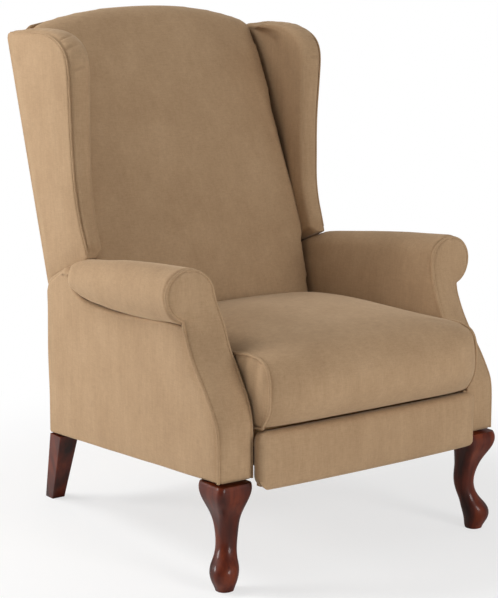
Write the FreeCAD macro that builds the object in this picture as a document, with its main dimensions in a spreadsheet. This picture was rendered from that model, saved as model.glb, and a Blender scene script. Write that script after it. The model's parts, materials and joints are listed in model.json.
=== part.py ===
import FreeCAD, Part
import math
import os
import Sketcher
from FreeCAD import Placement, Rotation, Vector

# A wing chair recliner on high legs. X runs across the chair, the front faces -Y and +Z is up.
# The origin is on the floor, under the middle of the chair. Left is the -X side.

SIZES = {
    # Whole chair
    "overall_depth": 896,
    "overall_height": 1070,
    "well_width": 536,
    "cushion_overhang": 80,
    "running_gap": 0.3,
    # Arms
    "back_overhang": 136,
    "arm_skin": 12,
    "arm_foot_width": 77,
    "arm_neck_width": 76,
    "arm_rear_pinch": 25,
    "arm_front_foot": 216,
    "arm_rear_foot": 163,
    "arm_crease": 484,
    "facing_thick": 18,
    "sweep_setback": 120,
    "sweep_top_rise": 76,
    "sweep_foot_rise": 84,
    "scroll_radius": 50,
    "scroll_rise": 70,
    "scroll_offset": 62,
    "roll_front_radius": 52,
    "roll_rear_radius": 40,
    "roll_tail_radius": 22,
    "roll_drop": 29,
    "parting_length": 160,
    "parting_front_rise": 82,
    "parting_overrun": 11,
    "parting_rear_rise": 3,
    "parting_gap": 2,
    # Arm frame
    "board_thick": 22,
    "post_width": 28,
    "post_depth": 40,
    "rear_post_width": 16,
    "top_rail_thick": 14,
    "top_rail_height": 36,
    "rail_height": 58,
    "rail_lift": 2,
    "arm_rear_thick": 5,
    "stretcher_set_back": 88,
    "stretcher_height": 32,
    "rear_rail_inset": 28,
    "rear_rail_height": 118,
    "rear_cover_drop": 10,
    # Legs
    "front_leg_drop": 6,
    "front_leg_width": 76,
    "front_leg_lean": 18,
    "front_leg_lap": 43,
    "front_leg_set_in": 32,
    "front_bolt_set_in": 42,
    "rear_leg_drop": 1,
    "rear_leg_top": 46,
    "rear_leg_toe": 31,
    "rear_leg_lap": 31,
    "rear_leg_set_in": 28,
    "rear_leg_rake": 74,
    "rear_leg_lean": 16,
    "bolt_radius": 4,
    "bolt_length": 70,
    "bolt_sink": 30,
    "block_height": 48,
    "block_width": 42,
    "rear_block_width": 26,
    # Seat
    "cushion_side_gap": 6,
    "cushion_foot": 312,
    "cushion_front_thick": 144,
    "cushion_rear_thick": 116,
    "cushion_crown": 26,
    "cushion_bow": 38,
    "cushion_back_gap": 8,
    "mechanism_room": 36,
    "seat_rail_height": 52,
    "seat_front_inset": 33,
    "seat_rear_inset": 162,
    "spring_count": 5,
    "spring_wire": 1.8,
    "spring_half_width": 22,
    "spring_pitch": 24,
    # Steel side plates and links
    "plate_thick": 3,
    "link_thick": 3,
    "link_gap": 1.5,
    "link_width": 20,
    "pin_radius": 4,
    "pin_clearance": 0.05,
    "pin_proud": 1,
    "link_rear_room": 57,
    "rear_link_angle": -22,
    "link_pivot_inset": 92,
    "link_pivot_drop": 42,
    "guide_offset": 38,
    "guide_rise": 24,
    "bracket_pivot_inset": 33,
    "bracket_pivot_drop": 62,
    "seat_plate_drop": 4,
    "seat_plate_step": 213,
    "seat_plate_margin": 19,
    "tube_radius": 8,
    "bracket_height": 60,
    "bracket_flange": 24,
    # Footrest
    "footrest_lap": 4,
    "footrest_drop": 118,
    "footrest_height": 115,
    "footrest_proud": 38,
    "footrest_pad_thick": 28,
    "footrest_bow": 9,
    "footrest_board_thick": 12,
    "footrest_board_margin": 12,
    # Tracks
    "track_height": 20,
    "track_wall": 2,
    "track_depth": 12.5,
    "track_drop": 92,
    "track_length": 275,
    "track_rear_inset": 97,
    "glide_length": 32,
    "glide_pitch": 122,
    "glide_rear_inset": 107,
    "side_plate_lap": 5,
    # Back
    "back_pivot_inset": 25,
    "back_pivot_rise": 48,
    "back_pin_radius": 6,
    "back_boss": 20,
    "back_bracket_thick": 4,
    "back_bracket_boss": 16,
    "back_bracket_height": 96,
    "back_foot_drop": 60,
    "wing_rear_drop": 53,
    "back_thick": 6,
    "back_post_width": 27,
    "back_post_thick": 30,
    "back_post_room": 15.5,
    "back_post_foot_drop": 38,
    "back_post_drop": 85,
    "back_rail_height": 60,
    "back_low_rail_rise": 70,
    "back_cushion_rise": 16,
    "back_cushion_lap": 16,
    "back_low_gap": 10,
    "back_low_margin": 16,
    "back_crown": 30,
    "back_seam_inset": 178,
    "back_arch": 43,
    "strap_count": 4,
    "strap_width": 50,
    "strap_thick": 2,
    # Wings
    "wing_panel_thick": 12,
    "wing_low_lap": 42,
    "wing_top_lap": 64,
    "wing_waist_set_back": 40,
    "wing_waist_rise": 134,
    "wing_shoulder_drop": 140,
    "wing_corner": 92,
    "wing_top_length": 143,
    "wing_peak_drop": 39,
    "wing_border_lead": 9,
    "wing_edge": 9,
}


class Dim:
    """A size from the sheet, or one worked out from several: its value and its formula."""

    def __init__(self, value, text):
        self.value = value
        self.text = text

    def __float__(self):
        return float(self.value)

    def __add__(self, other):
        other = as_dim(other)
        return Dim(self.value + other.value, f"({self.text} + {other.text})")

    def __radd__(self, other):
        return as_dim(other) + self

    def __sub__(self, other):
        other = as_dim(other)
        return Dim(self.value - other.value, f"({self.text} - {other.text})")

    def __rsub__(self, other):
        return as_dim(other) - self

    def __mul__(self, other):
        other = as_dim(other)
        return Dim(self.value * other.value, f"({self.text} * {other.text})")

    def __rmul__(self, other):
        return as_dim(other) * self

    def __truediv__(self, other):
        other = as_dim(other)
        return Dim(self.value / other.value, f"({self.text} / {other.text})")

    def __neg__(self):
        return as_dim(-1) * self


def as_dim(value):
    """A plain number as a Dim; a Dim stays what it is."""
    if isinstance(value, Dim):
        return value
    return Dim(float(value), f"({float(value)!r})")


def slope_angle(rise, run):
    """The angle in degrees of a slope given by its rise and run."""
    ratio = rise / run
    return Dim(math.degrees(math.atan(ratio.value)), f"(atan({ratio.text}) / 1 deg)")


def root(value):
    """The square root of a size."""
    return Dim(math.sqrt(value.value), f"sqrt({value.text})")


class Sheet:
    """The sheet of driving sizes. Each size is read as an attribute, as a Dim."""

    def __init__(self, document, sizes):
        self.cells = document.addObject("Spreadsheet::Sheet", "Size")
        for row, (name, value) in enumerate(sizes.items(), start=1):
            self.cells.set(f"A{row}", name)
            self.cells.set(f"B{row}", str(value))
            self.cells.setAlias(f"B{row}", name)
        document.recompute()

    def __getattr__(self, name):
        return Dim(float(self.cells.get(name)), f"Size.{name}")


doc = FreeCAD.newDocument("high_leg_recliner")
size = Sheet(doc, SIZES)
SIDES = (("left", -1), ("right", 1))
UNIT_X = Vector(1, 0, 0)
UNIT_Y = Vector(0, 1, 0)
UNIT_Z = Vector(0, 0, 1)
nodes = []


def bind(item, path, dim):
    """Bind one property of an object to a size."""
    item.setExpression(path, as_dim(dim).text)


def place(item, corner, tilt=None, about=UNIT_X):
    """Bind an object's place, and its turn about an axis where it has one."""
    if tilt is not None:
        item.Placement = Placement(Vector(), Rotation(about, float(tilt)))
        bind(item, "Placement.Rotation.Angle", tilt)
    for axis, dim in zip("xyz", corner):
        bind(item, f"Placement.Base.{axis}", dim)


def keep(item, label):
    """Name an object as one of the chair's pieces."""
    item.Label = label
    nodes.append(item)
    return item


def board(name, extent, corner, tilt=None):
    """A straight board with its lowest corner at a place, turned about X."""
    item = doc.addObject("Part::Box", name)
    for path, dim in zip(("Length", "Width", "Height"), extent):
        bind(item, path, dim)
    place(item, corner, tilt)
    return item


def rod(name, radius, length, start):
    """A round rod along X from its start."""
    item = doc.addObject("Part::Cylinder", name)
    bind(item, "Radius", radius)
    bind(item, "Height", length)
    place(item, start, as_dim(90), UNIT_Y)
    return item


def group(name, items):
    """Several separate solids of one kind as one piece."""
    item = doc.addObject("Part::Compound", name)
    item.Links = items
    return item


def cut(name, base, tool):
    """One object less another."""
    item = doc.addObject("Part::Cut", name)
    item.Base = base
    item.Tool = tool
    return item


def fuse(name, items):
    """Several objects as one solid."""
    item = doc.addObject("Part::MultiFuse", name)
    item.Shapes = items
    return item


def common(name, base, tool):
    """What two objects share."""
    item = doc.addObject("Part::Common", name)
    item.Base = base
    item.Tool = tool
    return item


def formed(name, shape):
    """A solid made from curves that the sheet's sizes place."""
    item = doc.addObject("Part::Feature", name)
    item.Shape = shape
    return item


def on_side(sign, near, thick):
    """The lower X of a slab that starts at a distance from the middle plane."""
    if sign > 0:
        return as_dim(near)
    return -(as_dim(near) + thick)


def arc_edge(start, end, radius, turn):
    """A sketch arc under half a circle; turn is 1 anticlockwise and -1 clockwise."""
    first = Vector(float(start[0]), float(start[1]), 0)
    last = Vector(float(end[0]), float(end[1]), 0)
    chord = last - first
    half = chord.Length / 2
    height = math.sqrt(max(float(radius) ** 2 - half ** 2, 0))
    normal = Vector(-chord.y, chord.x, 0).normalize()
    centre = (first + last) / 2 + normal * (turn * height)
    angles = [math.atan2(p.y - centre.y, p.x - centre.x) for p in (first, last)]
    if turn < 0:
        angles.reverse()
    return Part.ArcOfCircle(Part.Circle(centre, UNIT_Z, float(radius)), angles[0], angles[1])


def sketch_outline(body, role, corners, edges):
    """A closed sketch. An edge is None for a line, or (radius, turn) for an arc to the next corner."""
    sketch = body.newObject("Sketcher::SketchObject", f"{body.Name}_outline")
    plane = next(item for item in body.Origin.OriginFeatures if item.Role == role)
    sketch.AttachmentSupport = [(plane, "")]
    sketch.MapMode = "FlatFace"
    count = len(corners)
    ends = []
    for index, edge in enumerate(edges):
        start = corners[index]
        end = corners[(index + 1) % count]
        if edge is None:
            points = [Vector(float(p[0]), float(p[1]), 0) for p in (start, end)]
            sketch.addGeometry(Part.LineSegment(*points))
            ends.append((1, 2))
        else:
            sketch.addGeometry(arc_edge(start, end, *edge))
            ends.append((1, 2) if edge[1] > 0 else (2, 1))
    for index in range(count):
        after = (index + 1) % count
        sketch.addConstraint(Sketcher.Constraint("Coincident", index, ends[index][1], after, ends[after][0]))
    for index, corner in enumerate(corners):
        for word, dim in zip(("DistanceX", "DistanceY"), corner):
            dim = as_dim(dim)
            number = sketch.addConstraint(
                Sketcher.Constraint(word, -1, 1, index, ends[index][0], float(dim)))
            sketch.renameConstraint(number, f"corner{index}_{word[-1]}")
            bind(sketch, f"Constraints.corner{index}_{word[-1]}", dim)
    for index, edge in enumerate(edges):
        if edge is not None:
            number = sketch.addConstraint(Sketcher.Constraint("Radius", index, float(edge[0])))
            sketch.renameConstraint(number, f"bend{index}")
            bind(sketch, f"Constraints.bend{index}", edge[0])
    return sketch


def add_hole(sketch, index, centre, radius):
    """A round hole in a sketch, index of its geometry given."""
    centre = [as_dim(dim) for dim in centre]
    point = Vector(float(centre[0]), float(centre[1]), 0)
    sketch.addGeometry(Part.Circle(point, UNIT_Z, float(radius)))
    for word, dim in zip(("DistanceX", "DistanceY"), centre):
        number = sketch.addConstraint(Sketcher.Constraint(word, -1, 1, index, 3, float(dim)))
        sketch.renameConstraint(number, f"hole{index}_{word[-1]}")
        bind(sketch, f"Constraints.hole{index}_{word[-1]}", dim)
    number = sketch.addConstraint(Sketcher.Constraint("Radius", index, float(radius)))
    sketch.renameConstraint(number, f"hole{index}_radius")
    bind(sketch, f"Constraints.hole{index}_radius", radius)


def padded_body(name, role, corners, edges, length, holes=()):
    """A body with one outline, its holes, and a pad of one length."""
    body = doc.addObject("PartDesign::Body", name)
    sketch = sketch_outline(body, role, corners, edges)
    for number, (centre, radius) in enumerate(holes):
        add_hole(sketch, len(edges) + number, centre, radius)
    pad = body.newObject("PartDesign::Pad", f"{name}_pad")
    pad.Profile = sketch
    bind(pad, "Length", length)
    body.Tip = pad
    return body


def side_plate(name, corners, edges, near, thick, sign, holes=()):
    """A body drawn in side view (Y across, Z up) that stands at a distance from the middle plane."""
    body = padded_body(name, "YZ_Plane", corners, edges, thick, holes)
    place(body, (on_side(sign, near, thick), as_dim(0), as_dim(0)))
    return body


def loop(points):
    """A closed wire from edges given as point lists: two points a line, three points an arc."""
    edges = []
    for run in points:
        if len(run) == 2:
            edges.append(Part.LineSegment(*run).toShape())
        else:
            edges.append(Part.Arc(*run).toShape())
    return Part.Wire(edges)


def mirrored(shape, sign):
    """A shape made for the +X side, turned over for the -X side."""
    if sign > 0:
        return shape
    return shape.mirror(Vector(), UNIT_X)


# Shared places, worked out from the sizes
well_half = size.well_width / 2
front_y = -(size.overall_depth / 2)
rear_y = size.overall_depth / 2
arm_front_y = front_y + size.cushion_overhang
arm_rear_y = rear_y - size.back_overhang
arm_depth = arm_rear_y - arm_front_y
# Arms and the joint under the wings
parting_front_y = arm_rear_y - size.parting_length
parting_rear_y = arm_rear_y + size.parting_overrun
parting_front_height = size.arm_crease + size.parting_front_rise
parting_rear_height = size.arm_crease + size.parting_rear_rise
sweep_top = size.arm_crease + size.sweep_top_rise
sweep_foot = size.arm_front_foot + size.sweep_foot_rise
scroll_height = size.arm_crease + size.scroll_rise
# Legs
front_leg_reach = well_half + size.front_leg_lap
front_leg_y = arm_front_y + size.front_leg_set_in
front_leg_height = size.arm_front_foot - size.front_leg_drop
front_bolt_y = arm_front_y + size.front_bolt_set_in
rear_leg_reach = well_half + size.rear_leg_lap
rear_leg_y = arm_rear_y - size.rear_leg_set_in
rear_leg_height = size.arm_rear_foot - size.rear_leg_drop
# Rear crosspieces and the back's pivot
rear_rail_y = arm_rear_y - size.rear_rail_inset
back_pivot_height = size.cushion_foot + size.back_pivot_rise
rear_cover_height = back_pivot_height - size.rear_cover_drop - size.arm_rear_foot
# Seat
back_seam_foot_y = arm_rear_y - size.back_seam_inset
cushion_width = size.well_width - 2 * size.cushion_side_gap
cushion_front_height = size.cushion_foot + size.cushion_front_thick
cushion_rear_height = size.cushion_foot + size.cushion_rear_thick
cushion_rear_y = back_seam_foot_y - size.cushion_back_gap
seat_rail_outer = well_half - size.mechanism_room
seat_front_y = arm_front_y + size.seat_front_inset
seat_rear_y = arm_rear_y - size.seat_rear_inset
spring_gap = 2 * (seat_rail_outer - size.board_thick) / size.spring_count
# Links and tracks
link_pivot_y = seat_front_y + size.link_pivot_inset
link_pivot_height = size.cushion_foot - size.link_pivot_drop
bracket_pivot_y = arm_front_y + size.bracket_pivot_inset
bracket_pivot_height = size.cushion_foot - size.bracket_pivot_drop
track_foot = size.cushion_foot - size.track_drop
track_rear_y = arm_rear_y - size.track_rear_inset
track_front_y = track_rear_y - size.track_length
glide_rear_y = track_rear_y - size.glide_rear_inset
glide_front_y = glide_rear_y - size.glide_pitch
rear_link_length = glide_front_y - link_pivot_y - size.link_rear_room
seat_plate_foot = track_foot - size.seat_plate_drop
seat_plate_step_y = link_pivot_y + size.seat_plate_step
# Footrest
footrest_width = size.well_width + 2 * size.footrest_lap
footrest_foot = size.cushion_foot - size.footrest_drop
footrest_front_y = arm_front_y - size.footrest_proud
# Back
back_foot = back_pivot_height - size.back_foot_drop
back_post_outer = well_half - size.back_post_room
back_post_foot = back_pivot_height - size.back_post_foot_drop
back_post_top = size.overall_height - size.back_post_drop
back_low_rail_foot = back_pivot_height + size.back_low_rail_rise
back_cushion_foot = back_pivot_height + size.back_cushion_rise
back_cushion_width = size.well_width + 2 * size.back_cushion_lap
back_low_width = size.well_width - 2 * size.back_low_gap
back_low_top = parting_front_height + size.back_low_margin
# Wings
wing_rear_height = size.overall_height - size.wing_rear_drop
wing_low_reach = well_half + size.wing_low_lap
wing_top_reach = well_half + size.wing_top_lap
wing_front_y = parting_front_y + size.wing_waist_set_back
wing_waist_height = parting_front_height + size.wing_waist_rise
wing_shoulder_height = size.overall_height - size.wing_shoulder_drop
wing_peak_y = wing_front_y + size.wing_top_length
wing_peak_height = size.overall_height - size.wing_peak_drop
# Slopes and distances that several pieces share
arm_foot_slope = slope_angle(size.arm_rear_foot - size.arm_front_foot, arm_depth)
sweep_height = sweep_top - sweep_foot
core_near = well_half + size.arm_skin + size.running_gap
back_panel_top = size.overall_height - size.back_arch / 3
back_rise = back_panel_top - parting_rear_height
back_run = rear_y - parting_rear_y
back_length = root(back_rise * back_rise + back_run * back_run)
back_cos = back_rise / back_length
back_sin = back_run / back_length
back_slope = slope_angle(-back_run, back_rise)
back_room = (size.back_thick + size.running_gap) / back_cos
parting_slope_share = (parting_front_height - parting_rear_height) / (
    parting_rear_y - parting_front_y)
SWEEP_SHARES = ((0.55, 0.48), (0.15, 0.20))
UNDER_SHARES = (0.17, 0.985)
WAIST_SHARE = 0.85
HALF_ROOT_SHARE = math.sqrt(0.5)


def arm_foot_at(y):
    """Height of the arm's lower edge at a place from front to rear."""
    share = (y - arm_front_y) / arm_depth
    return size.arm_front_foot + (size.arm_rear_foot - size.arm_front_foot) * share


def back_plane_at(height):
    """Y of the outside back's rear face at a height."""
    return parting_rear_y + back_run * (height - parting_rear_height) / back_rise


back_pivot_y = back_plane_at(back_pivot_height) - size.back_pivot_inset


def tangent_radius(across, along):
    """Radius of an arc that starts straight along its second leg."""
    return (across * across + along * along) / (2 * across)


def sweep_corners(shift, top):
    """The arm's front edge in side view, from its top down to its foot, set back by a shift."""
    upper, lower = SWEEP_SHARES
    return [
        (arm_front_y + size.sweep_setback + shift, top),
        (arm_front_y + size.sweep_setback + shift, sweep_top),
        (arm_front_y + size.sweep_setback * upper[0] + shift, sweep_foot + sweep_height * upper[1]),
        (arm_front_y + size.sweep_setback * lower[0] + shift, sweep_foot + sweep_height * lower[1]),
        (arm_front_y + shift, sweep_foot),
        (arm_front_y + shift, arm_foot_at(arm_front_y + shift)),
    ]


def sweep_edges():
    """The edges between the corners of the arm's front edge."""
    upper, lower = SWEEP_SHARES
    hollow = tangent_radius(size.sweep_setback * (1 - upper[0]), sweep_height * (1 - upper[1]))
    belly = tangent_radius(size.sweep_setback * lower[0], sweep_height * lower[1])
    return [None, (hollow, -1), None, (belly, 1), None]


def arm_side_tool(name):
    """The arm's side view behind its facing, as wide as the chair, to trim the pieces to it."""
    top = scroll_height + size.scroll_radius + size.rail_height
    corners = sweep_corners(size.facing_thick, top)
    corners.append((arm_rear_y, arm_foot_at(arm_rear_y)))
    corners.append((arm_rear_y, parting_at(arm_rear_y)))
    corners.append((parting_front_y, parting_front_height - size.parting_gap))
    corners.append((parting_front_y, top))
    edges = sweep_edges() + [None] * 5
    width = 2 * well_half + 4 * size.arm_foot_width
    body = padded_body(name, "YZ_Plane", corners, edges, width)
    place(body, (-(width / 2), as_dim(0), as_dim(0)))
    return body


def parting_at(y):
    """Height of the joint between the arm and the wing at a place from front to rear."""
    return parting_front_height - parting_slope_share * (y - parting_front_y) - size.parting_gap


def front_leg(sign):
    """A cabriole leg: square knee, slim round ankle that leans in, round pad foot."""
    # Height, width, lean and corner roundness of each section, the floor last
    section_shares = (
        (1.00, 1.00, 0.00, 0.30),
        (0.93, 1.03, 0.12, 0.30),
        (0.83, 0.90, 0.12, 0.38),
        (0.72, 0.70, -0.10, 0.50),
        (0.60, 0.57, -0.30, 0.66),
        (0.49, 0.53, -0.38, 0.80),
        (0.40, 0.52, -0.25, 0.88),
        (0.31, 0.57, 0.10, 0.90),
        (0.21, 0.71, 0.55, 0.90),
        (0.14, 0.69, 0.68, 0.90),
        (0.06, 0.56, 0.60, 0.90),
        (0.00, 0.45, 0.52, 0.90),
    )
    inner_corner_share = 0.95
    wires = []
    for height_share, width_share, lean_share, corner_share in section_shares:
        half = float(size.front_leg_width) * width_share / 2
        lean = float(size.front_leg_lean) * lean_share
        middle = Vector(float(front_leg_reach) + lean, float(front_leg_y) - lean,
                        float(front_leg_height) * height_share)
        inner_share = max(corner_share, inner_corner_share)
        wires.append(rounded_square(middle, half, half * corner_share, half * inner_share))
    return mirrored(Part.makeLoft(wires, True, False), sign)


def rounded_square(middle, half, corner, inner):
    """A level square outline with round corners, the one towards the chair's middle rounder or not."""
    corners = (corner, inner, corner, corner)
    runs = []
    for quarter in range(4):
        turn = Rotation(UNIT_Z, 90 * quarter)
        start = corners[quarter - 1] - half
        flat = half - corners[quarter]
        bend = corners[quarter] * (1 - HALF_ROOT_SHARE)
        side = (Vector(half, start, 0), Vector(half, flat, 0))
        arc = (Vector(half, flat, 0), Vector(half - bend, half - bend, 0), Vector(flat, half, 0))
        for run in (side, arc):
            runs.append([middle + turn.multVec(point) for point in run])
    return loop(runs)


def rear_leg(sign):
    """A square leg that tapers, raked to the rear and a little inwards."""
    top_half = float(size.rear_leg_top) / 2
    toe_half = float(size.rear_leg_toe) / 2
    top = Vector(float(rear_leg_reach), float(rear_leg_y), float(rear_leg_height))
    toe = Vector(top.x - float(size.rear_leg_lean), top.y + float(size.rear_leg_rake), 0)
    edge_share = 0.12
    wires = [rounded_square(middle, half, half * edge_share, half * edge_share)
             for middle, half in ((top, top_half), (toe, toe_half))]
    return mirrored(Part.makeLoft(wires, True, True), sign)


def leg_hole(name, radius, sign, reach, y, height):
    """A leg's bolt, or the hole for it, from inside the leg up through its block."""
    hole = doc.addObject("Part::Cylinder", name)
    bind(hole, "Radius", radius)
    bind(hole, "Height", size.bolt_length)
    place(hole, (sign * reach, y, height - size.bolt_sink))
    return hole


def make_legs():
    """Four legs, the bolts that hold them, and the blocks that the bolts go into."""
    bolts = []
    blocks = []
    hole = size.bolt_radius + size.pin_clearance
    ends = (
        ("front", front_leg, front_bolt_y, front_leg_reach, front_leg_height,
         size.block_width),
        ("rear", rear_leg, rear_leg_y, rear_leg_reach, rear_leg_height,
         size.rear_block_width),
    )
    for word, sign in SIDES:
        for end, shape_leg, y, reach, height, width in ends:
            name = f"{end}_leg_{word}"
            seat = (sign, reach, y, height)
            blank = formed(f"{name}_blank", shape_leg(sign))
            keep(cut(f"{name}_cut", blank, leg_hole(f"{name}_hole", hole, *seat)), name)
            block = board(f"{name}_block", (width, size.block_width, size.block_height),
                          (on_side(sign, core_near, width), y - size.block_width / 2, height))
            blocks.append(cut(f"{name}_block_cut", block, leg_hole(f"{name}_block_hole", hole, *seat)))
            bolts.append(leg_hole(f"{name}_bolt", size.bolt_radius, *seat))
    keep(group("bolts", bolts), "leg_bolts")
    keep(group("blocks", blocks), "corner_blocks")


def slab_wire(y, pinch):
    """The outside panel's section across the arm, outer face on the outside."""
    foot_out = float(well_half + size.arm_foot_width - pinch)
    neck_out = float(well_half + size.arm_neck_width - pinch)
    skin = float(size.arm_skin)
    low = float(size.arm_rear_foot - size.arm_skin)
    high = float(size.arm_crease)
    corners = [Vector(foot_out - skin, y, low), Vector(foot_out, y, low),
               Vector(neck_out, y, high), Vector(neck_out - skin, y, high)]
    return loop([(corners[index], corners[(index + 1) % 4]) for index in range(4)])


def arm_outer_slab(sign):
    """The arm's outside panel before it is trimmed: it leans in to the top and to the rear."""
    front = slab_wire(float(arm_front_y), as_dim(0))
    rear = slab_wire(float(arm_rear_y), size.arm_rear_pinch)
    return mirrored(Part.makeLoft([front, rear], True, True), sign)


def arm_rear_form(sign):
    """The panel that closes the arm's rear end, between its inside and outside skins."""
    gap = float(size.running_gap)
    foot_out = float(well_half + size.arm_foot_width - size.arm_rear_pinch - size.arm_skin)
    neck_out = float(well_half + size.arm_neck_width - size.arm_rear_pinch - size.arm_skin)
    near = float(core_near)
    low = float(size.arm_rear_foot - size.arm_skin)
    high = float(size.arm_crease)
    y = float(arm_rear_y - size.arm_rear_thick)
    corners = [Vector(near, y, low), Vector(foot_out - gap, y, low), Vector(neck_out - gap, y, high),
               Vector(near, y, high)]
    wire = loop([(corners[index], corners[(index + 1) % 4]) for index in range(4)])
    panel = Part.Face(wire).extrude(Vector(0, float(size.arm_rear_thick), 0))
    return mirrored(panel, sign)


def roll_wire(y, radius, offset, height, neck):
    """The section of the arm's roll: a round top that overhangs a neck."""
    centre = Vector(float(well_half + offset), y, float(height))
    reach = float(radius)
    inner = Vector(float(well_half), y, float(size.arm_crease))
    shoulder = Vector(inner.x, y, centre.z - reach * WAIST_SHARE)
    diagonal = reach * HALF_ROOT_SHARE
    left = centre + Vector(-reach, 0, 0)
    top = centre + Vector(0, 0, reach)
    right = centre + Vector(reach, 0, 0)
    under = centre + Vector(reach * UNDER_SHARES[0], 0, -reach * UNDER_SHARES[1])
    outer = Vector(float(well_half + neck), y, inner.z)
    return loop([
        (inner, shoulder),
        (shoulder, left),
        (left, centre + Vector(-diagonal, 0, diagonal), top),
        (top, centre + Vector(diagonal, 0, diagonal), right),
        (right, centre + Vector(diagonal, 0, -diagonal), under),
        (under, outer),
        (outer, inner),
    ])


def arm_roll_form(sign):
    """The padded roll: it tapers and drops from the scroll to the wing."""
    start = float(arm_front_y + size.sweep_setback)
    end = float(parting_front_y)
    last = float(arm_rear_y)
    rear_offset = size.scroll_offset - size.arm_rear_pinch / 2
    rear_height = scroll_height - size.roll_drop
    rear_neck = size.arm_neck_width - size.arm_rear_pinch
    tail = size.roll_tail_radius
    wires = [
        roll_wire(start, size.roll_front_radius, size.scroll_offset, scroll_height,
                  size.arm_neck_width),
        roll_wire(end, size.roll_rear_radius, rear_offset, rear_height, rear_neck),
        roll_wire(last, tail, rear_neck - tail, size.arm_crease + tail, rear_neck),
    ]
    return mirrored(Part.makeLoft(wires, True, True), sign)


def facing_outline(name, sign):
    """The front view of the arm's facing: a scroll on a column that widens to the foot."""
    low = size.arm_rear_foot
    centre_x = well_half + size.scroll_offset
    radius = size.scroll_radius
    corners = [
        (well_half, low),
        (well_half, scroll_height - radius * WAIST_SHARE),
        (centre_x - radius, scroll_height),
        (centre_x, scroll_height + radius),
        (centre_x + radius, scroll_height),
        (centre_x + radius * UNDER_SHARES[0], scroll_height - radius * UNDER_SHARES[1]),
        (well_half + size.arm_neck_width, size.arm_crease),
        (well_half + size.arm_foot_width, size.arm_front_foot),
        (well_half + size.arm_foot_width, low),
    ]
    corners = [(sign * across, up) for across, up in corners]
    bend = (radius, -sign)
    edges = [None, None, bend, bend, bend, None, None, None, None]
    body = padded_body(name, "XZ_Plane", corners, edges, arm_depth + size.facing_thick)
    place(body, (as_dim(0), arm_rear_y, as_dim(0)))
    return body


def facing_band(name):
    """The side view of the facing: a band that follows the arm's swept front edge."""
    top = scroll_height + size.scroll_radius + size.rail_height
    front = sweep_corners(as_dim(0), top)
    rear = sweep_corners(size.facing_thick, top)
    back_edges = [edge if edge is None else (edge[0], -edge[1]) for edge in reversed(sweep_edges())]
    corners = front + rear[::-1]
    edges = sweep_edges() + [None] + back_edges + [None]
    width = 2 * well_half + 4 * size.arm_foot_width
    body = padded_body(name, "YZ_Plane", corners, edges, width)
    place(body, (-(width / 2), as_dim(0), as_dim(0)))
    return body


def make_arms():
    """Two arms: padded skins and a roll over a wooden frame, with a swept front facing."""
    trim = arm_side_tool("arm_trim")
    band = facing_band("facing_trim")
    crease = size.arm_crease
    block_half = size.block_width / 2
    rail_front = front_bolt_y + block_half + size.running_gap
    rail_rear = rear_leg_y - block_half - size.running_gap
    rail_tip = size.rail_height * (size.arm_front_foot - size.arm_rear_foot) / arm_depth
    post_y = arm_front_y + size.sweep_setback + size.facing_thick + size.running_gap
    frame_top = crease - size.running_gap
    rear_posts = []
    top_rails = []
    for word, sign in SIDES:
        slab = formed(f"arm_slab_{word}", arm_outer_slab(sign))
        keep(common(f"arm_outer_{word}", slab, trim), f"arm_outer_panel_{word}")
        inner = board(f"arm_inner_slab_{word}", (size.arm_skin, arm_depth, crease - size.arm_rear_foot),
                      (on_side(sign, well_half, size.arm_skin), arm_front_y, size.arm_rear_foot))
        keep(common(f"arm_inner_{word}", inner, trim), f"arm_inner_panel_{word}")
        roll = formed(f"arm_roll_form_{word}", arm_roll_form(sign))
        keep(common(f"arm_roll_trimmed_{word}", roll, trim), f"arm_roll_{word}")
        outline = facing_outline(f"facing_outline_{word}", sign)
        keep(common(f"facing_{word}", outline, band), f"arm_facing_{word}")
        rail = board(f"side_rail_{word}_board",
                     (size.board_thick, rail_rear - rail_front - rail_tip, size.rail_height),
                     (on_side(sign, core_near, size.board_thick), rail_front,
                      arm_foot_at(rail_front) + size.rail_lift), arm_foot_slope)
        keep(rail, f"side_rail_{word}")
        post_foot = arm_foot_at(post_y) + size.rail_lift + size.rail_height + 2 * size.running_gap
        post = board(f"front_post_{word}_board", (size.post_width, size.post_depth, frame_top - post_foot),
                     (on_side(sign, core_near, size.post_width), post_y, post_foot))
        keep(post, f"arm_front_post_{word}")
        top_rail_foot = frame_top - size.top_rail_height
        rear_post_foot = rear_leg_height + size.block_height
        rear_post_y = rear_leg_y - block_half
        rear_post = board(f"rear_post_{word}_board",
                          (size.rear_post_width, size.block_width, top_rail_foot - rear_post_foot),
                          (on_side(sign, core_near, size.rear_post_width), rear_post_y, rear_post_foot))
        rear_posts.append(rear_post)
        top_rail_front = post_y + size.post_depth
        top_rail = board(f"top_rail_{word}_board",
                         (size.top_rail_thick, rear_post_y + block_half - top_rail_front,
                          size.top_rail_height),
                         (on_side(sign, core_near, size.top_rail_thick), top_rail_front, top_rail_foot))
        top_rails.append(top_rail)
        closer = formed(f"arm_rear_form_{word}", arm_rear_form(sign))
        keep(common(f"arm_rear_{word}", closer, trim), f"arm_rear_panel_{word}")
    keep(group("rear_posts", rear_posts), "arm_rear_posts")
    keep(group("top_rails", top_rails), "arm_top_rails")


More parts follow.
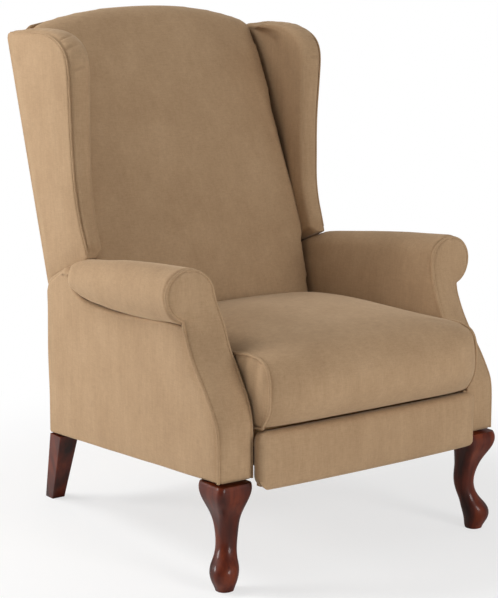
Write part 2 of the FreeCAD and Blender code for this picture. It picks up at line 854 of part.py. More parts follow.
def make_crosspieces():
    """The boards that tie the two arms together, and the cloth panel behind the lower one."""
    width = size.well_width
    stretcher_y = (arm_front_y + arm_rear_y) / 2 + size.stretcher_set_back
    stretcher_foot = arm_foot_at(stretcher_y)
    stretcher = board("stretcher_board", (width, size.board_thick, size.stretcher_height),
                      (-well_half, stretcher_y, stretcher_foot))
    keep(stretcher, "middle_stretcher")
    rear = board("rear_rail_board", (width, size.board_thick, size.rear_rail_height),
                 (-well_half, rear_rail_y, size.arm_rear_foot))
    keep(rear, "rear_rail")
    cover_y = rear_rail_y + size.board_thick
    cover = board("rear_cover_board", (width, arm_rear_y - cover_y, rear_cover_height),
                  (-well_half, cover_y, size.arm_rear_foot))
    keep(cover, "rear_cover")


# Distances of the steel parts from the middle plane, from the seat's plates out to the arms' plates
seat_plate_near = seat_rail_outer
rear_link_near = seat_plate_near + size.plate_thick + size.link_gap
front_arm_near = rear_link_near + size.link_thick + size.link_gap
guide_near = front_arm_near + size.link_thick + size.link_gap
side_plate_near = well_half - size.plate_thick
track_near = side_plate_near - size.track_depth
link_turn = math.radians(float(size.rear_link_angle))
link_cos = Dim(math.cos(link_turn), "cos(Size.rear_link_angle * 1 deg)")
link_sin = Dim(math.sin(link_turn), "sin(Size.rear_link_angle * 1 deg)")
knee = (link_pivot_y + rear_link_length * link_cos,
        link_pivot_height + rear_link_length * link_sin)
bracket_pivot = (bracket_pivot_y, bracket_pivot_height)
seat_rail_top = size.cushion_foot - 2 * size.spring_wire - 2 * size.running_gap


def bar(name, start, angle, length, near, sign, holes):
    """A flat steel link with round ends, in side view, holes at the ends that are named."""
    reach = size.link_width / 2
    corners = [(as_dim(0), -reach), (length, -reach), (length + reach, as_dim(0)), (length, reach),
               (as_dim(0), reach), (-reach, as_dim(0))]
    end = (reach, 1)
    radius = size.pin_radius + size.pin_clearance
    spots = {"start": (as_dim(0), as_dim(0)), "end": (length, as_dim(0))}
    body = padded_body(name, "YZ_Plane", corners, [None, end, end, None, end, end], size.link_thick,
                       [(spots[word], radius) for word in holes])
    place(body, (on_side(sign, near, size.link_thick), start[0], start[1]), angle)
    return body


def pin(name, sign, near, far, centre, radius):
    """A round pin between two distances from the middle plane."""
    length = far - near
    return rod(name, radius, length, (on_side(sign, near, length), centre[0], centre[1]))


def make_tracks():
    """The arms' steel side plates with the back's pivot pins, and the tracks that the seat slides in."""
    lap = size.side_plate_lap
    pivot = (back_pivot_y, back_pivot_height)
    boss = size.back_boss
    for word, sign in SIDES:
        corners = [
            (track_front_y, track_foot - lap),
            (track_rear_y, track_foot - lap),
            (pivot[0] + boss, pivot[1] - boss),
            (pivot[0] + boss, pivot[1] + boss),
            (pivot[0] - boss, pivot[1] + boss),
            (track_rear_y - 2 * boss, track_foot + size.track_height + lap),
            (track_front_y, track_foot + size.track_height + lap),
        ]
        plate = side_plate(f"base_plate_blank_{word}", corners, [None] * 7, side_plate_near,
                           size.plate_thick, sign)
        pin_near = back_post_outer + 2 * size.running_gap
        stud = pin(f"back_pin_{word}", sign, pin_near, side_plate_near, pivot, size.back_pin_radius)
        outer = sign * side_plate_near
        mouth = sign * track_near
        web = sign * (side_plate_near - size.track_wall)
        low = track_foot
        high = track_foot + size.track_height
        wall = size.track_wall
        profile = [(outer, low), (mouth, low), (mouth, low + wall), (web, low + wall),
                   (web, high - wall), (mouth, high - wall), (mouth, high), (outer, high)]
        track = padded_body(f"track_{word}_body", "XZ_Plane", profile, [None] * 8,
                            track_rear_y - track_front_y)
        place(track, (as_dim(0), track_rear_y, as_dim(0)))
        keep(fuse(f"base_plate_{word}_fuse", [plate, stud, track]), f"base_plate_{word}")


def make_seat_frame():
    """The seat's wooden frame, its zigzag springs, steel plates and the glides that ride in the tracks."""
    thick = size.board_thick
    depth = seat_rear_y - seat_front_y
    inner = seat_rail_outer - thick
    foot = seat_rail_top - size.seat_rail_height
    for word, sign in SIDES:
        rail = board(f"seat_rail_{word}_board", (thick, depth, size.seat_rail_height),
                     (on_side(sign, inner, thick), seat_front_y, foot))
        keep(rail, f"seat_rail_{word}")
    for word, y in (("front", seat_front_y), ("rear", seat_rear_y - thick)):
        rail = board(f"seat_{word}_rail_board", (2 * inner, thick, size.seat_rail_height), (-inner, y, foot))
        keep(rail, f"seat_{word}_rail")
    keep(formed("springs", make_springs()), "seat_springs")
    glides = []
    for word, sign in SIDES:
        make_seat_plate(word, sign)
        near = seat_plate_near + size.plate_thick
        far = side_plate_near - size.track_wall - size.running_gap
        low = track_foot + size.track_wall + size.running_gap
        high = track_foot + size.track_height - size.track_wall - size.running_gap
        for end, y in (("front", glide_front_y), ("rear", glide_rear_y)):
            glides.append(board(f"glide_{end}_{word}", (far - near, size.glide_length, high - low),
                                (on_side(sign, near, far - near), y, low)))
    keep(group("glides", glides), "seat_glides")


def make_seat_plate(word, sign):
    """A steel plate on the seat's side rail, with the pins of the rear link and the guide link."""
    margin = size.seat_plate_margin
    guide_pivot = (link_pivot_y + size.guide_offset, link_pivot_height + size.guide_rise)
    corners = [
        (link_pivot_y - margin, seat_rail_top - size.pin_proud),
        (link_pivot_y - margin, link_pivot_height - margin),
        (link_pivot_y + margin, link_pivot_height - margin),
        (seat_plate_step_y, seat_plate_foot),
        (seat_rear_y, seat_plate_foot),
        (seat_rear_y, seat_rail_top - size.pin_proud),
    ]
    plate = side_plate(f"seat_plate_blank_{word}", corners, [None] * 6, seat_plate_near,
                       size.plate_thick, sign)
    start = seat_plate_near + size.plate_thick
    link_pin = pin(f"link_pin_{word}", sign, start, rear_link_near + size.link_thick + size.pin_proud,
                   (link_pivot_y, link_pivot_height), size.pin_radius)
    guide_pin = pin(f"guide_pin_{word}", sign, start, guide_near + size.link_thick + size.pin_proud,
                    guide_pivot, size.pin_radius)
    keep(fuse(f"seat_plate_{word}_fuse", [plate, link_pin, guide_pin]), f"seat_plate_{word}")


def zigzag_line(middle, height):
    """The middle line of one zigzag spring: straight runs across, joined by half circles."""
    bend = float(size.spring_pitch) / 2
    reach = float(size.spring_half_width) - bend
    start = float(seat_front_y) + bend
    turns = int(float((seat_rear_y - seat_front_y) / size.spring_pitch)) - 1
    edges = []
    for turn in range(turns):
        way = 1 if turn % 2 == 0 else -1
        near = Vector(middle - way * reach, start + 2 * bend * turn, height)
        far = near + Vector(2 * way * reach, 0, 0)
        edges.append(Part.LineSegment(near, far).toShape())
        if turn < turns - 1:
            spots = []
            for degrees in (-90, -45, 0, 45, 90):
                angle = math.radians(degrees)
                spots.append(far + Vector(way * bend * math.cos(angle), bend + bend * math.sin(angle), 0))
            edges.append(Part.Arc(*spots[:3]).toShape())
            edges.append(Part.Arc(*spots[2:]).toShape())
    return Part.Wire(edges)


def make_springs():
    """Zigzag wires from the seat's front rail to its rear rail."""
    wire = float(size.spring_wire)
    height = float(seat_rail_top + size.running_gap + size.spring_wire)
    count = int(float(size.spring_count))
    springs = []
    for number in range(count):
        path = zigzag_line((number - (count - 1) / 2) * float(spring_gap), height)
        section = Part.Wire([Part.Circle(path.Vertexes[0].Point, UNIT_X, wire).toShape()])
        springs.append(path.makePipeShell([section], True, False))
    return Part.Compound(springs)


def make_links():
    """The footrest's links on each side: rear link, guide link and front arm, and the tube between them."""
    length = rear_link_length
    angle = size.rear_link_angle
    pivot = (link_pivot_y, link_pivot_height)
    guide_pivot = (pivot[0] + size.guide_offset, pivot[1] + size.guide_rise)
    guide_end = (knee[0] + size.guide_offset, knee[1] + size.guide_rise)
    run = bracket_pivot[0] - knee[0]
    rise = bracket_pivot[1] - knee[1]
    arm_length = root(run * run + rise * rise)
    arm_angle = slope_angle(rise, run) + 180
    ear_angle = slope_angle(size.guide_rise, size.guide_offset)
    ear_length = root(size.guide_offset * size.guide_offset + size.guide_rise * size.guide_rise)
    thick = size.link_thick
    proud = size.pin_proud
    for word, sign in SIDES:
        rear = bar(f"rear_link_bar_{word}", pivot, angle, length, rear_link_near, sign, ["start"])
        knee_pin = pin(f"knee_pin_{word}", sign, rear_link_near + thick,
                       front_arm_near + thick + proud / 2, knee, size.pin_radius)
        keep(fuse(f"rear_link_{word}_fuse", [rear, knee_pin]), f"footrest_rear_link_{word}")
        guide = bar(f"guide_bar_{word}", guide_pivot, angle, length, guide_near, sign, ["start", "end"])
        keep(guide, f"footrest_guide_link_{word}")
        arm = bar(f"front_arm_bar_{word}", knee, arm_angle, arm_length, front_arm_near, sign, ["start"])
        ear = bar(f"front_arm_ear_{word}", knee, ear_angle, ear_length, front_arm_near, sign, ["start"])
        pins = [pin(f"{end}_pin_{word}", sign, front_arm_near + thick, guide_near + thick + proud, centre,
                    size.pin_radius) for end, centre in (("ear", guide_end), ("bracket", bracket_pivot))]
        keep(fuse(f"front_arm_{word}_fuse", [arm, ear] + pins), f"footrest_front_arm_{word}")
    tube = rod("link_tube_rod", size.tube_radius, 2 * rear_link_near, (-rear_link_near, knee[0], knee[1]))
    keep(tube, "footrest_link_tube")


def make_footrest():
    """The footrest: brackets on the links, a board and a padded panel that closes the front."""
    board_front = footrest_front_y + size.footrest_pad_thick
    board_rear = board_front + size.footrest_board_thick
    half = footrest_width / 2 - size.footrest_board_margin
    margin = size.footrest_board_margin / 2
    panel = board("footrest_board_slab",
                  (2 * half, size.footrest_board_thick, size.footrest_height - 2 * margin),
                  (-half, board_front, footrest_foot + margin))
    keep(panel, "footrest_board")
    bend = size.link_width / 2 + size.pin_proud
    for word, sign in SIDES:
        middle = bracket_pivot_height
        tall = size.bracket_height / 2
        corners = [
            (board_rear, middle - tall),
            (bracket_pivot_y + bend, middle - bend),
            (bracket_pivot_y + bend, middle + bend),
            (board_rear, middle + tall),
        ]
        hole = (bracket_pivot, size.pin_radius + size.pin_clearance)
        cheek = side_plate(f"bracket_cheek_{word}", corners, [None] * 4, guide_near,
                           size.link_thick, sign, [hole])
        flange_near = guide_near + size.link_thick - size.bracket_flange
        flange = board(f"bracket_flange_{word}", (size.bracket_flange, size.link_thick, size.bracket_height),
                       (on_side(sign, flange_near, size.bracket_flange), board_rear, middle - tall))
        keep(fuse(f"bracket_{word}_fuse", [cheek, flange]), f"footrest_bracket_{word}")
    keep(formed("footrest_pad_form", footrest_pad_form()), "footrest_pad")


def crowned_loft(half, section, shares):
    """A soft form lofted across the chair, from sections at shares of its half width."""
    wires = [section(share * half, share) for share in shares]
    return Part.makeLoft(wires, True, False)


def crown_share(share):
    """How much of the crown stands at a share of the half width."""
    crown_power = 2.6
    return 1 - abs(share) ** crown_power


def edge_share(share, end_share, power):
    """How much of a cushion's thickness is left at a share of the half width: less close to its ends."""
    return 1 - (1 - end_share) * abs(share) ** power


def footrest_pad_form():
    """The footrest's pad: a bowed front with round edges and ends."""
    half = float(footrest_width) / 2
    rear = float(footrest_front_y + size.footrest_pad_thick)
    thick = float(size.footrest_pad_thick)
    bow = float(size.footrest_bow)
    middle = float(footrest_foot) + float(size.footrest_height) / 2
    end_share = 0.72
    end_power = 14
    corner_share = 0.45

    def section(x, share):
        edge = edge_share(share, end_share, end_power)
        high = float(size.footrest_height) * (1 + edge) / 4
        front = rear - (thick - bow) * edge - bow * crown_share(share)
        corner = thick * corner_share * edge
        bend = corner * (1 - HALF_ROOT_SHARE)
        low = Vector(x, rear, middle - high)
        top = Vector(x, rear, middle + high)
        low_bend = Vector(x, front + bend, middle - high + bend)
        top_bend = Vector(x, front + bend, middle + high - bend)
        low_side = Vector(x, front + corner, middle - high)
        top_side = Vector(x, front + corner, middle + high)
        low_front = Vector(x, front, middle - high + corner)
        top_front = Vector(x, front, middle + high - corner)
        return loop([(low, low_side), (low_side, low_bend, low_front), (low_front, top_front),
                     (top_front, top_bend, top_side), (top_side, top), (top, low)])

    shares = (-1, -0.975, -0.94, -0.88, -0.75, -0.4, 0, 0.4, 0.75, 0.88, 0.94, 0.975, 1)
    return crowned_loft(half, section, shares)


def seat_cushion_form():
    """The seat cushion: a round front that overhangs, a crown, and ends drawn in to their seams."""
    half = float(cushion_width) / 2
    foot = float(size.cushion_foot)
    rear = float(cushion_rear_y)
    bow = float(size.cushion_bow)
    crown = float(size.cushion_crown)
    front_rise = float(cushion_front_height) - foot
    rear_rise = float(cushion_rear_height) - foot
    end_share = 0.93
    end_power = 16
    # Places on the round front, as shares of half its height: how far back, how far up
    low_shares = (0.85, 0)
    low_bend_shares = (0.23, 0.258)
    middle_shares = (0, 0.92)
    top_bend_shares = (0.351, 1.708)
    top_shares = (1.35, 2)
    front_crown_share = 0.75
    ridge_shares = (0.088, 0.22)

    def section(x, share):
        edge = edge_share(share, end_share, end_power)
        swell = crown_share(share)
        front = float(front_y) + bow * (1 - swell)
        nose = (front_rise * edge + crown * swell * front_crown_share) / 2
        spots = []
        for back, up in (low_shares, low_bend_shares, middle_shares, top_bend_shares, top_shares):
            spots.append(Vector(x, front + nose * back, foot + nose * up))
        low, low_bend, middle, top_bend, top = spots
        rear_low = Vector(x, rear, foot)
        rear_high = Vector(x, rear, foot + rear_rise * edge + crown * swell)
        ridge = (top + rear_high) / 2 + Vector(0, 0, crown * (ridge_shares[0] + ridge_shares[1] * swell))
        return loop([(rear_low, low), (low, low_bend, middle), (middle, top_bend, top),
                     (top, ridge, rear_high), (rear_high, rear_low)])

    return crowned_loft(half, section, (-1, -0.94, -0.75, -0.4, 0, 0.4, 0.75, 0.94, 1))


def back_spot(height, depth):
    """The place a depth in front of the back's rear plane, square to it, from a height on the plane."""
    return (back_plane_at(height) - depth * back_cos, height + depth * back_sin)


def back_board(name, near_x, width, foot, length, depth, thick):
    """A board that lies along the back's slope, its front face a depth in front of the rear plane."""
    y, z = back_spot(foot, depth)
    return board(name, (width, thick, length), (near_x, y, z), back_slope)


def back_cushion_form():
    """The back cushion: flat at the frame, crowned in front, with an arched top that rolls over."""
    half = float(back_cushion_width) / 2
    foot = float(back_cushion_foot)
    crown = float(size.back_crown)
    arch = float(size.back_arch)
    top = float(size.overall_height)
    seam_foot = float(back_seam_foot_y)
    rise = top - foot
    rear_low = float(back_plane_at(back_cushion_foot) - back_room)
    slope = float(back_run / back_rise)
    # Height, set-back and swell of the front seam, as shares of the cushion's height and crown
    seam_shares = ((0, 0, 0.1), (0.26, 0.055, 0.9), (0.54, 0.168, 1), (0.78, 0.287, 1), (0.93, 0.375, 0.55))
    front_bend_shares = (0.32, 0.7)
    apex_share = 0.062
    bend_shares = (0.01, 0.008)
    shoulder_share = 0.035
    arch_power = 2.2

    def section(x, share):
        swell = crown_share(share)
        high = top - arch * abs(share) ** arch_power
        points = []
        for height_share, back_share, swell_share in seam_shares:
            push = crown * swell * swell_share
            z = foot + height_share * (high - foot)
            points.append(Vector(x, seam_foot + back_share * rise - push, z))
        seam = points[-1]
        apex = Vector(x, seam.y + (high - foot) * apex_share, high)
        shoulder_z = high - rise * shoulder_share
        shoulder = Vector(x, rear_low + (shoulder_z - foot) * slope, shoulder_z)
        bend = Vector(x, (apex.y + shoulder.y) / 2 + rise * bend_shares[0], high - rise * bend_shares[1])
        front_bend = Vector(x, seam.y + (apex.y - seam.y) * front_bend_shares[0],
                            seam.z + (high - seam.z) * front_bend_shares[1])
        base = Vector(x, rear_low, foot)
        return loop([(base, points[0]), (points[0], points[1], points[2]), (points[2], points[3], seam),
                     (seam, front_bend, apex), (apex, bend, shoulder), (shoulder, base)])

    form = crowned_loft(half, section, (-1, -0.93, -0.72, -0.38, 0, 0.38, 0.72, 0.93, 1))
    frame_room = back_frame_room(size.back_post_thick + size.back_thick, back_post_top)
    panel_room = back_frame_room(size.back_thick, back_panel_top)
    return form.cut(frame_room).cut(panel_room).cut(back_side_room(1)).cut(back_side_room(-1))


def back_frame_room(thick, top):
    """The room behind the cushion that the back's frame, or its outside panel, takes up to a height."""
    width = float(back_cushion_width) + float(size.back_post_width)
    gap = float(size.running_gap)
    depth = float(thick) + gap
    y, z = [float(dim) for dim in back_spot(back_foot, as_dim(depth))]
    length = float((top - back_foot) / back_cos) + gap
    room = Part.makeBox(width, 2 * depth, length)
    room.Placement = Placement(Vector(-width / 2, y, z), Rotation(UNIT_X, float(back_slope)))
    return room


def back_side_room(sign):
    """The room beside the back cushion's foot, where it goes down between the arms."""
    near = float(back_low_width) / 2
    width = float(back_cushion_width)
    foot = float(back_cushion_foot - size.back_thick)
    height = float(back_low_top) - foot
    return Part.makeBox(width, float(size.overall_depth), height,
                        Vector(near if sign > 0 else -near - width, -float(size.overall_depth) / 2, foot))


def make_back():
    """The back: posts, rails and straps, the cushion, the outside panel and the pivot brackets."""
    thick = size.back_post_thick
    depth = size.back_post_thick + size.back_thick
    post_near = back_post_outer - size.back_post_width
    post_length = (back_post_top - back_post_foot) / back_cos
    for word, sign in SIDES:
        post = back_board(f"back_post_{word}_board", on_side(sign, post_near, size.back_post_width),
                          size.back_post_width, back_post_foot, post_length, depth, thick)
        keep(post, f"back_post_{word}")
        pivot = (back_pivot_y, back_pivot_height)
        boss = size.back_bracket_boss
        low = pivot[1] - boss
        high = low + size.back_bracket_height
        neck = back_cushion_foot - 2 * size.running_gap
        corners = [
            (pivot[0] - boss, low),
            (back_plane_at(low) - back_room, low),
            (back_plane_at(high) - back_room, high),
            (back_plane_at(high) - depth / back_cos, high),
            (back_plane_at(neck) - depth / back_cos, neck),
            (pivot[0] - boss, pivot[1]),
        ]
        hole = (pivot, size.back_pin_radius + size.pin_clearance)
        bracket = side_plate(f"back_bracket_{word}_body", corners, [None] * 6, back_post_outer,
                             size.back_bracket_thick, sign, [hole])
        keep(bracket, f"back_bracket_{word}")
    rail_height = size.back_rail_height
    top_rail_foot = back_post_top - rail_height
    for word, foot in (("low", back_low_rail_foot), ("top", top_rail_foot)):
        rail = back_board(f"back_{word}_rail_board", -post_near, 2 * post_near, foot, rail_height / back_cos,
                          depth, thick)
        keep(rail, f"back_{word}_rail")
    keep(group("straps", back_straps(post_near, top_rail_foot, depth)), "back_straps")
    keep(formed("back_cushion_form", back_cushion_form()), "back_cushion")
    keep(outside_back(), "outside_back")


def back_straps(post_near, top_rail_foot, depth):
    """Upright elastic straps between the back's two rails."""
    count = int(float(size.strap_count))
    low = back_low_rail_foot + size.back_rail_height + size.running_gap
    length = (top_rail_foot - low - size.running_gap) / back_cos
    straps = []
    for number in range(count):
        middle = post_near * ((2 * number + 1) / count - 1)
        straps.append(back_board(f"strap_{number}", middle - size.strap_width / 2, size.strap_width, low,
                                 length, depth, size.strap_thick))
    return straps


def outside_back():
    """The covered panel behind the back: full width above the arms, narrower between them."""
    base = parting_rear_height
    low = (back_foot - base) / back_cos
    waist = as_dim(0)
    shoulder = (wing_rear_height - base) / back_cos
    top = back_length
    half_low = back_low_width / 2
    half_waist = wing_low_reach
    half_top = wing_top_reach
    rise = top - shoulder
    arch = (half_top * half_top + rise * rise) / (2 * rise)
    corners = [
        (-half_low, low), (half_low, low), (half_low, waist), (half_waist, waist),
        (half_top, shoulder), (as_dim(0), top), (-half_top, shoulder), (-half_waist, waist),
        (-half_low, waist),
    ]
    edges = [None] * 9
    edges[4] = (arch, 1)
    edges[5] = (arch, 1)
    body = padded_body("outside_back_body", "XZ_Plane", corners, edges, size.back_thick)
    place(body, (as_dim(0), parting_rear_y, base), back_slope)
    return body


wing_inner = back_cushion_width / 2 + size.running_gap
wing_rise = wing_rear_height - parting_rear_height
wing_slope = slope_angle(wing_top_reach - wing_low_reach, wing_rise)


def wing_corners(lead):
    """The wing's side view, heights from the joint's rear end; its front edge leads by a distance."""
    base = parting_rear_height
    low_front = parting_front_y - lead
    front = wing_front_y - lead
    corner = size.wing_corner
    edge = size.wing_edge
    return [
        (parting_rear_y - back_room, edge / 3),
        (low_front, parting_front_height + lead * parting_slope_share - base),
        (front, wing_waist_height - base),
        (front, wing_shoulder_height - base),
        (front + corner, wing_shoulder_height + corner - base),
        (wing_peak_y, wing_peak_height - base),
        (back_plane_at(wing_rear_height) - back_room, wing_rise),
    ]


def wing_pad_wire(x_low, x_top, lead, inset):
    """The wing pad's outline as a wire on a plane that leans from one X to another."""
    shrink = float(inset)
    rear_share = float(back_run / back_rise)
    moves = ((rear_share, 1), (1, 1), (1, 0), (1, 0), (1, -1), (0, -1), (-rear_share, -1))
    spots = []
    for (y, z), (forward, up) in zip(wing_corners(lead), moves):
        spots.append(Vector(0, float(y) + shrink * forward, float(z) + shrink * up))
    start, end = spots[3], spots[4]
    bulge_share = (math.sqrt(2) - 1) / 2
    across = Vector(0, start.z - end.z, end.y - start.y)
    spots.append((start + end) / 2 + across * bulge_share)
    lean = float(x_top - x_low) / float(wing_rise)
    base = float(parting_rear_height)
    on_plane = [Vector(float(x_low) + lean * spot.z, spot.y, spot.z + base) for spot in spots]
    order = ((0, 1), (1, 2), (2, 3), (3, 7, 4), (4, 5), (5, 6), (6, 0))
    return loop([[on_plane[index] for index in run] for run in order])


def wing_pad_form(sign):
    """The wing's padding: upright towards the cushion, leaning with the panel outside, round at its edge."""
    lead = size.wing_border_lead
    near = wing_inner
    low_far = wing_low_reach - size.wing_panel_thick - size.running_gap
    top_far = wing_top_reach - size.wing_panel_thick - size.running_gap
    soft_share = 0.45
    mid_low = near + (low_far - near) * soft_share
    mid_top = near + (top_far - near) * soft_share
    wires = [
        wing_pad_wire(near, near, lead, size.wing_edge),
        wing_pad_wire(mid_low, mid_top, lead, as_dim(0)),
        wing_pad_wire(low_far, top_far, as_dim(0), as_dim(0)),
    ]
    return mirrored(Part.makeLoft(wires, True, True), sign)


def make_wings():
    """The wings beside the back: an outside panel that leans out, and the padding inside it."""
    for word, sign in SIDES:
        edges = [None, None, None, (size.wing_corner, -1), None, None, None]
        panel = padded_body(f"wing_panel_{word}_body", "YZ_Plane", wing_corners(as_dim(0)), edges,
                            size.wing_panel_thick)
        near = wing_low_reach - size.wing_panel_thick
        tilt = wing_slope if sign > 0 else -wing_slope
        place(panel, (on_side(sign, near, size.wing_panel_thick), as_dim(0), parting_rear_height), tilt,
              UNIT_Y)
        keep(panel, f"wing_panel_{word}")
        keep(formed(f"wing_pad_{word}_form", wing_pad_form(sign)), f"wing_pad_{word}")


def write_pieces():
    """Check every object, then write each piece to its own file."""
    doc.recompute()
    for item in doc.Objects:
        if "Invalid" in item.State or "Error" in item.State:
            raise RuntimeError(f"{item.Name} failed: {item.State}")
    for item in nodes:
        if item.Shape.isNull() or not item.Shape.isValid():
            raise RuntimeError(f"{item.Label} has no valid shape")
    os.makedirs("parts", exist_ok=True)
    for item in nodes:
        item.Shape.exportStep(os.path.join("parts", f"{item.Label}.step"))
    print(len(nodes), "pieces written")


make_legs()
make_arms()
make_crosspieces()
make_tracks()
make_seat_frame()
keep(formed("seat_cushion_form", seat_cushion_form()), "seat_cushion")
make_links()
make_footrest()
make_back()
make_wings()
write_pieces()
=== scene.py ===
"""A high leg recliner: its covers, cushions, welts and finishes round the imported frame.

Metres. X runs across the chair, its front faces -Y, Z is up and the floor is Z = 0.
A distance called "out" is counted from the inner face of an arm towards the chair's side.
"""

import json
import math

import bmesh
import bpy
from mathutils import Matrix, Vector, noise


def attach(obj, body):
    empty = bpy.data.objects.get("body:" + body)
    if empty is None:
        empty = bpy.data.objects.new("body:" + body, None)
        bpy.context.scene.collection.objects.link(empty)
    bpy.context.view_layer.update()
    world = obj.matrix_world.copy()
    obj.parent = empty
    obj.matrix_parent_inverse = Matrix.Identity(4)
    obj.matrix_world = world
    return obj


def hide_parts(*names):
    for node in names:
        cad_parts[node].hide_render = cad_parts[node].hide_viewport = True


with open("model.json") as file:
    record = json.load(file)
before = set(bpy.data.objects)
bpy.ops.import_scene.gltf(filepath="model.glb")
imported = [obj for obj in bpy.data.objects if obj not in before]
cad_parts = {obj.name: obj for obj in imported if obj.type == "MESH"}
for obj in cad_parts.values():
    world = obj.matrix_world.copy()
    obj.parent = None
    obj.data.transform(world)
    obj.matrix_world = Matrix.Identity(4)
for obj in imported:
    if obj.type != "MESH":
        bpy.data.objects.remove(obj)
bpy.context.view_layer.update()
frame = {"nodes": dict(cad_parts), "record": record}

SIDES = (("left", -1), ("right", 1))

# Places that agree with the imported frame
WELL = 0.268
ARM_FRONT = -0.368
ARM_REAR = 0.312
ARM_WIDTH = 0.077
ARM_FOOT_FRONT = 0.216
ARM_FOOT_REAR = 0.163
ARM_PINCH = 0.025
PANEL_FOOT = 0.151
PANEL_FOOT_OUT = 0.0772
PANEL_NECK_OUT = 0.0762
FACING_THICK = 0.018
COVER_SET_IN = 0.0075
CREASE = 0.484
SETBACK = 0.120
SCROLL_OUT, SCROLL_HEIGHT, SCROLL_RADIUS = 0.062, 0.554, 0.050
SCROLL_FLAT = 0.003
SCROLL_INSIDE = 0.0025
# Height against Y along the two edges of an arm's front: the inner edge stands further forward
INNER_SWEEP = (
    (0.150, -0.3665), (0.300, -0.3672), (0.325, -0.3655), (0.350, -0.3592), (0.370, -0.3500),
    (0.420, -0.3180), (0.449, -0.2975), (0.488, -0.2795), (0.525, -0.2640), (0.550, -0.2565),
    (0.620, -0.2510))
OUTER_SWEEP = (
    (0.150, -0.3660), (0.270, -0.3660), (0.300, -0.3648), (0.322, -0.3605), (0.348, -0.3460),
    (0.370, -0.3310), (0.431, -0.2840), (0.475, -0.2600), (0.500, -0.2525), (0.550, -0.2480),
    (0.620, -0.2480))
# Height of the crease under the roll, against Y
CREASE_LINE = ((-0.400, 0.495), (-0.230, 0.494), (-0.130, 0.485), (-0.030, 0.480), (0.070, 0.481),
               (0.120, 0.485), (0.150, 0.492), (0.172, 0.503), (0.190, 0.520), (0.320, 0.540))
PARTING_FRONT = (0.152, 0.566)
PARTING_SLOPE = -0.462
PARTING_GAP = 0.003
BACK_FOOT = (0.323, 0.487)
BACK_SLOPE = 0.2198
BACK_LOW = 0.4885
BACK_HIGH = 1.0165
WING_LEAN = 0.0415
WING_OUT = 0.310
WING_INSIDE = 0.2852
WELT_STEP = 0.003
SAME_POINT = 2e-5
WHITE = (1, 1, 1, 1)


# Helpers for numbers and meshes

def ease(value, low=0.0, high=1.0):
    """0 below low, 1 above high and a smooth rise between them."""
    share = min(max((value - low) / (high - low), 0.0), 1.0)
    return share * share * (3 - 2 * share)


def lerp(a, b, share):
    return a + (b - a) * share


def spread(bend, middle):
    """Shares from 0 to 1, close together within a bend at both ends."""
    ends = [bend * (1 - math.cos(math.radians(angle))) for angle in (0, 18, 36, 54, 72, 90)]
    inner = [lerp(bend, 1 - bend, step / middle) for step in range(1, middle)]
    return ends + inner + [1 - share for share in reversed(ends)]


def along(table, at):
    """A smooth curve's value at a place, from a table of places and values."""
    if at <= table[0][0]:
        return table[0][1]
    if at >= table[-1][0]:
        return table[-1][1]
    index = next(number for number in range(len(table) - 1) if at <= table[number + 1][0])
    slopes = []
    for middle in (index, index + 1):
        before, after = table[max(middle - 1, 0)], table[min(middle + 1, len(table) - 1)]
        slopes.append((after[1] - before[1]) / (after[0] - before[0]))
    (x0, y0), (x1, y1) = table[index], table[index + 1]
    run = x1 - x0
    t = (at - x0) / run
    return ((2 * t ** 3 - 3 * t ** 2 + 1) * y0 + (t ** 3 - 2 * t ** 2 + t) * run * slopes[0]
            + (3 * t ** 2 - 2 * t ** 3) * y1 + (t ** 3 - t ** 2) * run * slopes[1])


def curve_through(points, count, closed=False):
    """Points at even steps along a smooth curve through the points given."""
    total = len(points)
    runs = total if closed else total - 1
    dense = []
    for run in range(runs):
        near = [(run + shift) % total if closed else min(max(run + shift, 0), total - 1)
                for shift in (-1, 0, 1, 2)]
        p0, p1, p2, p3 = (points[index] for index in near)
        for step in range(16):
            t = step / 16
            dense.append(0.5 * (2 * p1 + (p2 - p0) * t + (2 * p0 - 5 * p1 + 4 * p2 - p3) * t * t
                                + (3 * p1 - p0 - 3 * p2 + p3) * t ** 3))
    dense.append(points[0 if closed else -1].copy())
    return even(dense, count)


def side_ring(knots, count):
    """A ring in the side view, through places given as Y and height."""
    return curve_through([Vector((0, y, z)) for y, z in knots], count, closed=True)[:-1]


def lengths_along(line):
    """How far along a line each of its points is."""
    lengths = [0.0]
    for a, b in zip(line, line[1:]):
        lengths.append(lengths[-1] + (b - a).length)
    return lengths


def even(line, count):
    """A polyline divided again into count points at even steps."""
    lengths = lengths_along(line)
    result = []
    index = 0
    for step in range(count):
        target = lengths[-1] * step / (count - 1)
        while index < len(line) - 2 and lengths[index + 1] < target:
            index += 1
        span = lengths[index + 1] - lengths[index]
        share = (target - lengths[index]) / span if span > 0 else 0
        result.append(line[index].lerp(line[index + 1], min(share, 1)))
    return result


def add_object(name, data):
    made = bpy.data.objects.new(name, data)
    bpy.context.scene.collection.objects.link(made)
    return made


def save_smooth(shape, mesh):
    for face in shape.faces:
        face.smooth = True
    shape.to_mesh(mesh)
    shape.free()


def evaluated_mesh(thing):
    """A plain mesh of what an object's modifiers give."""
    bpy.context.view_layer.update()
    whole = bpy.context.evaluated_depsgraph_get()
    return bpy.data.meshes.new_from_object(thing.evaluated_get(whole), depsgraph=whole)


def apply_modifiers(piece):
    old = piece.data
    fine = evaluated_mesh(piece)
    piece.modifiers.clear()
    piece.data = fine
    bpy.data.meshes.remove(old)


